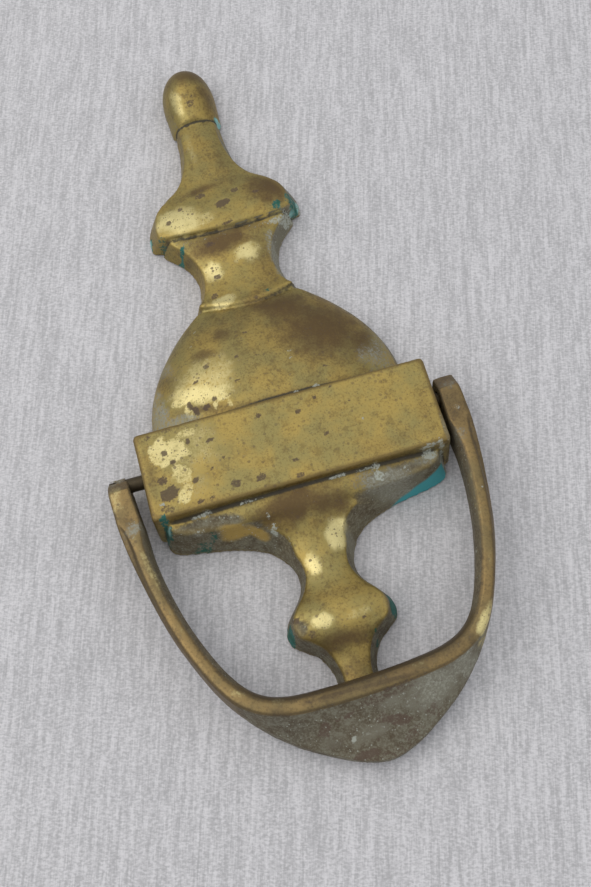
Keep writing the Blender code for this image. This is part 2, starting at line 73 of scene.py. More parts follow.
# Urn outline, bottom to top, in runs that are each smooth:
# height at the sides, half-width, depth off the door, roundness exponent of the section,
# width of its sloping side walls (none where it is round), how much lower the same line runs at the front.
URN_RUNS = (
    ((-64.0, 2.6, 3.2, 2.2, 0.5, 0.0), (-63.2, 3.9, 4.8, 2.2, 0.9, 0.0), (-61.6, 4.8, 6.0, 2.3, 1.3, 0.0),
     (-59.6, 5.0, 6.5, 2.4, 1.6, 0.0), (-56.6, 5.1, 6.7, 2.5, 1.6, 0.0), (-54.2, 5.7, 6.9, 2.5, 1.7, 0.2),
     (-52.0, 6.7, 7.4, 2.5, 1.9, 0.5), (-50.0, 8.3, 8.2, 2.5, 2.2, 0.8), (-48.2, 10.6, 9.1, 2.5, 2.4, 1.0),
     (-46.9, 12.4, 9.8, 2.6, 2.4, 1.0)),
    ((-46.9, 12.4, 9.8, 2.6, 2.4, 1.0), (-45.6, 13.3, 10.3, 2.7, 2.4, 0.9),
     (-43.4, 13.6, 10.6, 2.8, 2.3, 0.8), (-41.2, 13.1, 10.5, 2.7, 2.4, 0.8)),
    ((-41.2, 13.1, 10.5, 2.7, 2.4, 0.8), (-39.1, 11.7, 9.9, 2.6, 2.4, 0.8),
     (-36.6, 9.5, 9.0, 2.6, 2.2, 0.6), (-34.1, 7.9, 8.3, 2.6, 1.9, 0.4), (-31.6, 7.1, 8.0, 2.6, 1.8, 0.2),
     (-29.0, 7.4, 8.1, 2.6, 1.9, 0.0), (-26.2, 8.6, 8.5, 2.5, 2.3, 0.0), (-23.6, 10.5, 9.1, 2.5, 4.0, 0.0),
     (-21.6, 13.0, 9.8, 2.5, 5.6, 0.0), (-19.9, 16.8, 10.5, 2.5, 7.6, 0.0),
     (-18.7, 21.0, 11.1, 2.5, 10.0, 0.0), (-17.8, 25.5, 11.6, 2.6, 14.0, 0.0),
     (-17.0, 30.0, 12.0, 2.8, 15.0, 0.0), (-16.2, 33.2, 12.3, 3.0, 9.5, 0.0),
     (-15.2, 35.1, 12.6, 3.2, 5.0, 0.0)),
    ((-15.2, 35.1, 12.6, 3.2, 5.0, 0.0), (-13.6, 35.8, 12.9, 3.4, 2.6, 0.0),
     (-10.4, 35.9, 13.1, 3.4, 1.8, 0.0)),
    ((-10.4, 35.9, 13.1, 3.4, 1.8, 0.0), (10.4, 33.3, 13.2, 2.4, 0.0, 0.0)),
    ((10.4, 33.3, 13.2, 2.4, 0.0, 0.0), (15.4, 33.2, 13.1, 2.4, 0.0, 0.0),
     (20.0, 32.6, 12.9, 2.4, 0.0, 0.0), (24.6, 31.4, 12.6, 2.4, 0.0, 0.0),
     (29.0, 29.5, 12.1, 2.4, 0.0, 0.3), (33.2, 27.1, 11.5, 2.4, 0.0, 0.6),
     (37.2, 24.2, 10.7, 2.4, 0.0, 1.1), (40.8, 21.0, 9.9, 2.5, 0.0, 1.7), (43.8, 17.6, 9.0, 2.6, 0.3, 2.5),
     (45.9, 14.6, 8.3, 2.7, 0.9, 3.2), (46.7, 13.0, 7.6, 2.8, 1.2, 3.5)),
    ((46.7, 13.0, 7.6, 2.8, 1.2, 3.5), (47.1, 14.0, 8.6, 2.8, 1.4, 3.5), (47.9, 14.0, 8.7, 2.9, 1.6, 3.4),
     (49.2, 13.1, 8.3, 3.0, 1.9, 3.2), (51.2, 12.2, 7.9, 3.0, 1.9, 3.0), (54.4, 11.5, 7.5, 3.0, 1.9, 2.8),
     (57.4, 11.4, 7.4, 3.0, 1.9, 2.6), (60.6, 12.3, 7.5, 3.0, 2.0, 2.4), (63.2, 13.7, 7.7, 2.9, 2.2, 2.4),
     (65.4, 15.6, 7.9, 2.8, 2.5, 2.3), (67.4, 17.6, 8.1, 2.7, 2.7, 2.2), (69.0, 18.8, 8.2, 2.7, 2.8, 2.2)),
    ((69.0, 18.8, 8.2, 2.7, 2.8, 2.2), (69.5, 18.0, 7.3, 2.7, 2.8, 2.2), (69.9, 18.4, 7.6, 2.7, 2.8, 2.2)),
    ((69.9, 18.4, 7.6, 2.7, 2.8, 2.2), (70.2, 20.3, 8.8, 2.7, 2.9, 2.2), (70.9, 21.1, 9.2, 2.7, 3.0, 2.1),
     (73.0, 21.4, 9.3, 2.6, 3.0, 1.9), (75.6, 21.1, 9.2, 2.6, 3.0, 1.7), (78.2, 20.2, 8.9, 2.5, 2.9, 1.5),
     (80.4, 18.5, 8.5, 2.5, 2.8, 1.2), (82.2, 16.4, 8.1, 2.4, 2.6, 0.9), (83.6, 14.3, 7.9, 2.4, 2.4, 0.6)),
    ((83.6, 14.3, 7.9, 2.4, 2.4, 0.6), (85.0, 12.4, 7.7, 2.4, 2.2, 0.3), (86.8, 10.8, 7.6, 2.4, 2.0, 0.0),
     (89.2, 9.4, 7.5, 2.4, 1.9, 0.0), (93.4, 7.9, 7.3, 2.4, 1.8, 0.0), (98.4, 7.0, 7.0, 2.4, 1.8, 0.0),
     (102.8, 6.6, 6.8, 2.3, 1.5, 0.0), (104.8, 6.5, 6.7, 2.3, 1.2, 0.0)),
    ((104.8, 6.5, 6.7, 2.3, 1.2, 0.0), (105.3, 5.7, 5.9, 2.2, 0.8, 0.0), (105.8, 6.7, 7.3, 2.2, 0.4, 0.0)),
    ((105.8, 6.7, 7.3, 2.2, 0.4, 0.0), (106.6, 7.1, 8.0, 2.1, 0.0, 0.0), (109.6, 7.3, 8.7, 2.1, 0.0, 0.0),
     (113.4, 7.5, 9.4, 2.0, 0.0, 0.0), (117.2, 7.5, 9.8, 2.0, 0.0, 0.0), (120.2, 7.1, 9.5, 2.0, 0.0, 0.0),
     (122.6, 6.2, 8.4, 2.0, 0.0, 0.0), (124.5, 4.7, 6.5, 2.0, 0.0, 0.0), (125.6, 3.0, 4.2, 2.0, 0.0, 0.0),
     (126.1, 1.2, 1.7, 2.0, 0.0, 0.0)),
)

# Hollow behind the urn: height, half-width, depth, exponent
CAVITY_RUN = (
    (-25.4, 4.0, 4.4, 2.4), (-23.4, 6.2, 5.8, 2.4), (-20.4, 9.6, 7.0, 2.4),
    (-17.4, 15.6, 8.0, 2.4), (-14.6, 24.0, 9.4, 2.6), (-10.6, 27.2, 10.6, 3.0),
    (-7.2, 27.6, 12.4, 3.4), (7.2, 27.6, 12.4, 3.4), (11.4, 28.6, 10.6, 2.6),
    (18.4, 29.2, 10.3, 2.4), (24.4, 28.2, 9.9, 2.4), (30.4, 25.6, 9.3, 2.4),
    (36.4, 21.6, 8.4, 2.4), (41.4, 17.0, 7.2, 2.4), (45.4, 11.8, 5.8, 2.4),
    (48.4, 9.8, 5.4, 2.4), (56.4, 8.4, 4.9, 2.6), (62.4, 10.0, 5.2, 2.5),
    (67.4, 14.0, 5.7, 2.4), (72.4, 17.9, 6.7, 2.4), (78.4, 16.6, 6.4, 2.4),
    (82.4, 12.6, 5.7, 2.4), (85.4, 8.4, 4.9, 2.4),
)

# Bail, one half from the lug's top round to the middle of the crossbar:
# inner edge x, z; outer edge x, z; ridge depth; outer edge depth; back depth inside and outside;
# how far along the run from square lug (0) to leaf (1) the section has changed.
BAIL_STATIONS = (
    (39.9, 5.9, 45.0, 5.9, 9.2, 9.0, 3.6, 3.6, 0.00),
    (39.7, 1.2, 45.0, 1.2, 13.2, 13.0, 3.2, 3.2, 0.00),
    (39.1, -7.2, 44.9, -7.2, 13.2, 13.0, 3.2, 3.2, 0.00),
    (39.0, -9.2, 44.8, -9.3, 13.3, 12.5, 3.4, 3.3, 0.12),
    (38.9, -14.6, 44.2, -14.8, 13.4, 12.1, 4.2, 3.5, 0.25),
    (38.2, -21.2, 43.1, -21.8, 13.5, 11.8, 5.2, 3.6, 0.32),
    (36.9, -28.3, 41.6, -29.5, 13.6, 11.4, 5.8, 3.6, 0.38),
    (35.1, -35.7, 39.7, -37.2, 13.7, 10.9, 6.2, 3.5, 0.45),
    (32.6, -43.0, 36.9, -44.9, 13.8, 10.2, 6.4, 3.3, 0.54),
    (29.7, -49.5, 33.8, -51.9, 13.9, 9.2, 6.5, 3.0, 0.64),
    (26.4, -54.4, 30.3, -57.6, 14.0, 8.0, 6.6, 2.6, 0.74),
    (22.6, -57.3, 25.6, -63.3, 14.0, 6.7, 6.8, 2.2, 0.84),
    (18.0, -58.8, 20.0, -68.4, 14.1, 5.6, 7.0, 1.9, 0.92),
    (12.6, -59.4, 13.6, -72.7, 14.1, 4.9, 7.2, 1.7, 0.97),
    (6.5, -59.7, 6.9, -76.3, 14.1, 4.5, 7.4, 1.6, 1.00),
    (0.0, -59.8, 0.0, -78.0, 14.1, 4.4, 7.4, 1.6, 1.00),
)
SMOOTH_FROM_STATION = 3
LUG_EDGE = 0.5
ARM_INNER_SLOPE = 1.4
LEAF_INNER_SLOPE = 2.4
RIDGE_FLAT_ARM = 1.9
RIDGE_FLAT_LEAF = 2.2
CREASE_DROP = 1.1
CREASE_RUN = 0.5
SKIRT_HOLLOW = 0.7

# ---------------------------------------------------------------- mesh helpers


def spline_point(p0, p1, p2, p3, t):
    """Catmull-Rom value between p1 and p2, for rows of numbers."""
    p0, p1, p2, p3 = (np.array(p) for p in (p0, p1, p2, p3))
    value = 2.0 * p1 + (p2 - p0) * t
    value += (2.0 * p0 - 5.0 * p1 + 4.0 * p2 - p3) * t * t
    value += (3.0 * p1 - p0 - 3.0 * p2 + p3) * t * t * t
    return 0.5 * value


def smooth_rows(rows, steps):
    rows = [np.array(r, float) for r in rows]
    padded = [2.0 * rows[0] - rows[1]] + rows + [2.0 * rows[-1] - rows[-2]]
    result = []
    for i in range(1, len(padded) - 2):
        for k in range(steps):
            result.append(spline_point(*padded[i - 1:i + 3], k / steps))
    return result + [rows[-1]]


def mix(a, b, amount):
    return a + (b - a) * amount


def half_section(row, steps):
    """Points of one section, left to right over the front: half-round, or crowned with sloping walls."""
    height, half_width, depth, power, wall, droop = row
    walled = min(1.0, wall / WALL_FULL)
    points = []
    for k in range(steps + 1):
        angle = math.pi * k / steps
        c = math.cos(angle)
        s = math.sin(angle)
        round_x = half_width * abs(c) ** (2.0 / power)
        round_depth = depth * abs(s) ** (2.0 / power)
        out = abs(2.0 * k / steps - 1.0)
        if out > CORNER_AT:
            climb = (1.0 - out) / (1.0 - CORNER_AT)
            wall_x = half_width - wall * climb
            wall_depth = depth * CORNER_DEPTH * climb
        else:
            wall_x = (half_width - wall) * out / CORNER_AT
            wall_depth = depth * mix(1.0, CORNER_DEPTH, (out / CORNER_AT) ** 2)
        x = -math.copysign(mix(round_x, wall_x, walled), c)
        y = -mix(round_depth, wall_depth, walled)
        points.append(Vector((x, y, height - droop * s * s)))
    return points


def new_object(name, mesh):
    obj = bpy.data.objects.new(name, mesh)
    bpy.context.scene.collection.objects.link(obj)
    return obj


def object_from_bmesh(name, bm):
    bmesh.ops.recalc_face_normals(bm, faces=bm.faces)
    mesh = bpy.data.meshes.new(name)
    bm.to_mesh(mesh)
    bm.free()
    return new_object(name, mesh)


def loft(name, rings):
    """A closed solid through rings that all have the same number of points."""
    bm = bmesh.new()
    loops = [[bm.verts.new(p) for p in ring] for ring in rings]
    count = len(loops[0])
    for low, high in zip(loops, loops[1:]):
        for k in range(count):
            n = (k + 1) % count
            bm.faces.new((low[k], low[n], high[n], high[k]))
    for ring in (loops[0], loops[-1]):
        bm.faces.new(ring)
    return object_from_bmesh(name, bm)


def box(name, size, centre):
    bm = bmesh.new()
    bmesh.ops.create_cube(bm, size=1.0)
    bmesh.ops.scale(bm, vec=Vector(size), verts=bm.verts)
    bmesh.ops.translate(bm, vec=Vector(centre), verts=bm.verts)
    return object_from_bmesh(name, bm)


def turned(name, profile, start, along, sides):
    """A turned bar: profile is (distance, radius) rows from start, along a direction."""
    turn = Vector((0.0, 0.0, 1.0)).rotation_difference(Vector(along))
    rings = []
    for distance, radius in profile:
        ring = []
        for k in range(sides):
            angle = 2.0 * math.pi * k / sides
            local = Vector((radius * math.cos(angle), radius * math.sin(angle), distance))
            ring.append(Vector(start) + turn @ local)
        rings.append(ring)
    return loft(name, rings)


def apply_modifiers(obj):
    graph = bpy.context.evaluated_depsgraph_get()
    mesh = bpy.data.meshes.new_from_object(obj.evaluated_get(graph))
    obj.modifiers.clear()
    obj.data = mesh


def boolean(obj, other, operation):
    """Join or cut two closed meshes, and remove the second one."""
    modifier = obj.modifiers.new(operation, "BOOLEAN")
    modifier.operation = operation
    modifier.solver = "MANIFOLD"
    modifier.object = other
    apply_modifiers(obj)
    bpy.data.objects.remove(other)


def remesh(obj, voxel):
    """An even mesh of the same shape: voxels first, then every point back on the first surface."""
    source = obj.data
    source_points = [v.co.copy() for v in source.vertices]
    tree = BVHTree.FromPolygons(source_points, [tuple(p.vertices) for p in source.polygons])
    modifier = obj.modifiers.new("even", "REMESH")
    modifier.mode = "VOXEL"
    modifier.voxel_size = voxel
    apply_modifiers(obj)
    for vertex in obj.data.vertices:
        place, _, _, _ = tree.find_nearest(vertex.co)
        vertex.co = place


class Surface:
    """The points of a mesh as arrays, for smoothing, denting and measuring it."""

    def __init__(self, mesh):
        self.mesh = mesh
        count = len(mesh.vertices)
        self.points = np.empty(count * 3, np.float32)
        mesh.vertices.foreach_get("co", self.points)
        self.points = self.points.reshape(-1, 3).astype(float)
        pairs = np.empty(len(mesh.edges) * 2, np.int32)
        mesh.edges.foreach_get("vertices", pairs)
        self.a, self.b = pairs.reshape(-1, 2).T
        self.degree = np.bincount(self.a, minlength=count) + np.bincount(self.b, minlength=count)

    def mean(self, values):
        """Each point's mean over its neighbours."""
        total = np.bincount(self.a, values[self.b], len(values))
        total += np.bincount(self.b, values[self.a], len(values))
        return total / self.degree

    def smoothed(self, values, rounds, amount=1.0):
        for _ in range(rounds):
            values = values + amount * (self.mean(values) - values)
        return values

    def relaxed(self, rounds, amount=1.0):
        return np.stack([self.smoothed(c, rounds, amount) for c in self.points.T], axis=1)

    def store(self):
        self.mesh.vertices.foreach_set("co", self.points.astype(np.float32).ravel())
        self.mesh.update()

    def normals(self):
        self.store()
        normals = np.empty(len(self.points) * 3, np.float32)
        self.mesh.vertex_normals.foreach_get("vector", normals)
        return normals.reshape(-1, 3).astype(float)

    def hollow(self, normals, rounds):
        """How far each point lies below its relaxed surroundings: over 0 in a crevice, under 0 on an edge."""
        return np.sum((self.relaxed(rounds) - self.points) * normals, axis=1)

    def paint(self, name, values):
        layer = self.mesh.attributes.get(name) or self.mesh.attributes.new(name, "FLOAT", "POINT")
        layer.data.foreach_set("value", np.clip(values, 0.0, 1.0).astype(np.float32))


def lattice_value(cells, seed):
    """A repeatable number from 0 to 1 for each whole-number cell."""
    mixed = cells[:, 0] * 73856093 ^ cells[:, 1] * 19349663 ^ cells[:, 2] * 83492791 ^ seed * 2654435
    mixed = (mixed ^ (mixed >> 13)) * 1274126177
    mixed ^= mixed >> 16
    return (mixed & 0xFFFF) / 65535.0


def value_noise(points, size, seed):
    """Smooth noise from 0 to 1 with lumps about size millimetres across."""
    p = points / size
    cell = np.floor(p).astype(np.int64)
    f = p - cell
    f = f * f * (3.0 - 2.0 * f)
    total = np.zeros(len(p))
    for corner in range(8):
        step = np.array([corner & 1, corner >> 1 & 1, corner >> 2])
        weight = np.prod(np.where(step, f, 1.0 - f), axis=1)
        total += weight * lattice_value(cell + step, seed)
    return total


def cloud(points, size, seed, octaves=4):
    """Noise from about -1 to 1 with finer lumps on coarser ones."""
    total = np.zeros(len(points))
    share = 1.0
    reach = 0.0
    for octave in range(octaves):
        total += share * (value_noise(points, size / 2.0 ** octave, seed + octave) * 2.0 - 1.0)
        reach += share
        share *= 0.55
    return total / reach * 1.6


def step(values, low, high):
    t = np.clip((values - low) / (high - low), 0.0, 1.0)
    return t * t * (3.0 - 2.0 * t)


# ---------------------------------------------------------------- castings

URN_VOXEL = 0.5
BAIL_VOXEL = 0.33
SECTION_STEPS = 72
RUN_STEPS = 5
CAVITY_RUN_STEPS = 3
BAIL_RUN_STEPS = 8
CUT_PAST = 3.0  # how far a cutter reaches past the surface that it opens
SEAT_FLOOR = 0.6  # room behind the end of each pin
LUG_HOLE_FROM_X = 36.0
LUG_HOLE_REACH = 14.0


def make_block():
    block = box("block_blank", (BLOCK_WIDTH, BLOCK_DEPTH + 4.0, BLOCK_HEIGHT),
                (0.0, (4.0 - BLOCK_DEPTH) / 2.0, 0.0))
    for vertex in block.data.vertices:
        if vertex.co.y > 0.0:
            vertex.co.x += math.copysign(BLOCK_DRAFT, vertex.co.x)
    bevel = block.modifiers.new("soft_edges", "BEVEL")
    bevel.width = BLOCK_EDGE
    bevel.segments = 4
    bevel.limit_method = "ANGLE"
    apply_modifiers(block)
    boolean(block, box("block_trim", (100.0, 20.0, 60.0), (0.0, 10.0, 0.0)), "DIFFERENCE")
    return block


def make_urn():
    rows = []
    for run in URN_RUNS:
        smooth = smooth_rows(run, RUN_STEPS if len(run) > 2 else 1)
        rows.extend(smooth if not rows else smooth[1:])
    urn = loft("urn_body", [half_section(row, SECTION_STEPS) for row in rows])
    boolean(urn, make_block(), "UNION")
    hollow_rings = []
    for row in smooth_rows(CAVITY_RUN, CAVITY_RUN_STEPS):
        ring = half_section(list(row) + [0.0, 0.0], SECTION_STEPS // 2)
        ring[0].y += CUT_PAST
        ring[-1].y += CUT_PAST
        hollow_rings.append(ring)
    boolean(urn, loft("cavity_cutter", hollow_rings), "DIFFERENCE")
    front = (0.0, -1.0, 0.0)
    boss = turned("upper_boss", ((0.0, FIXING_BOSS_RADIUS), (-FIXING_BOSS_FRONT_Y, FIXING_BOSS_RADIUS)),
                  (0.0, 0.0, FIXING_Z[0]), front, 48)
    boolean(urn, boss, "UNION")
    for height in FIXING_Z:
        hole = turned("fixing_hole", ((0.0, FIXING_HOLE_RADIUS), (FIXING_HOLE_DEPTH + CUT_PAST, FIXING_HOLE_RADIUS)),
                      (0.0, CUT_PAST, height), front, 32)
        boolean(urn, hole, "DIFFERENCE")
    for side in (-1.0, 1.0):
        reach = BLOCK_WIDTH / 2.0 + CUT_PAST - PIN_INNER_X + SEAT_FLOOR
        seat = turned("pin_seat", ((0.0, PIN_SEAT_RADIUS), (reach, PIN_SEAT_RADIUS)),
                      (side * (PIN_INNER_X - SEAT_FLOOR), HINGE_Y, HINGE_Z), (side, 0.0, 0.0), 40)
        boolean(urn, seat, "DIFFERENCE")
    remesh(urn, URN_VOXEL)
    return urn


def bail_section(row, side):
    """One closed section of the bail, from the inner back edge over the front."""
    xi, zi, xo, zo, ridge, outer, back_in, back_out, change = row
    inner = Vector((xi, 0.0, zi))
    across = Vector((xo - xi, 0.0, zo - zi))
    width = across.length
    across.normalize()
    early = min(1.0, change * 4.0)
    slope = mix(LUG_EDGE, mix(ARM_INNER_SLOPE, LEAF_INNER_SLOPE, change), early)
    flat = mix(width - 2.0 * LUG_EDGE, mix(RIDGE_FLAT_ARM, RIDGE_FLAT_LEAF, change), early)
    drop = mix(0.4, CREASE_DROP, early)
    shoulder = mix(0.4, 2.6, early)
    crease = min(slope + flat + mix(0.1, CREASE_RUN, early), width - 0.25)
    fall = ridge - drop - outer
    bow = SKIRT_HOLLOW * max(0.0, change - 0.5) * 2.0
    profile = [
        (0.0, back_in), (0.0, ridge - shoulder), (slope * 0.28, ridge - shoulder * 0.46),
        (slope * 0.62, ridge - shoulder * 0.14), (slope, ridge), (slope + flat * 0.5, ridge + 0.05),
        (slope + flat, ridge - drop * 0.12), (crease, ridge - drop),
    ]
    run = width - crease
    for share in (0.25, 0.5, 0.75):
        sag = bow * 4.0 * share * (1.0 - share)
        profile.append((crease + run * share, ridge - drop - fall * share - sag))
    profile.append((width, outer))
    profile.append((width, back_out))
    profile.append((mix(width * 0.66, width * 0.42, change),
                    mix(back_out, back_in, mix(0.34, 0.9, change))))
    points = []
    for t, depth in profile:
        p = inner + across * t
        points.append(Vector((p.x * side, -depth, p.z)))
    return points


def lean_matrix():
    pivot = Vector((0.0, 0.0, HINGE_Z))
    turn = Matrix.Rotation(-math.radians(BAIL_LEAN_DEG), 4, "Y")
    shift = Matrix.Translation(Vector((BAIL_SHIFT_X, 0.0, 0.0)))
    return shift @ Matrix.Translation(pivot) @ turn @ Matrix.Translation(-pivot)


def make_bail():
    square = [np.array(r) for r in BAIL_STATIONS[:SMOOTH_FROM_STATION]]
    curved = [np.array(r) for r in BAIL_STATIONS[SMOOTH_FROM_STATION:]]
    beyond = curved[-2].copy()
    beyond[0] *= -1.0
    beyond[2] *= -1.0
    rows = square + smooth_rows(curved + [beyond], BAIL_RUN_STEPS)[:-BAIL_RUN_STEPS]
    rings = [bail_section(row, 1.0) for row in rows]
    rings += [bail_section(row, -1.0) for row in reversed(rows[:-1])]
    bail = loft("bail_body", rings)
    bail.data.transform(lean_matrix())
    for side in (-1.0, 1.0):
        hole = turned("lug_hole", ((0.0, LUG_HOLE_RADIUS), (LUG_HOLE_REACH, LUG_HOLE_RADIUS)),
                      (side * LUG_HOLE_FROM_X, HINGE_Y, HINGE_Z), (side, 0.0, 0.0), 40)
        boolean(bail, hole, "DIFFERENCE")
    remesh(bail, BAIL_VOXEL)
    return bail
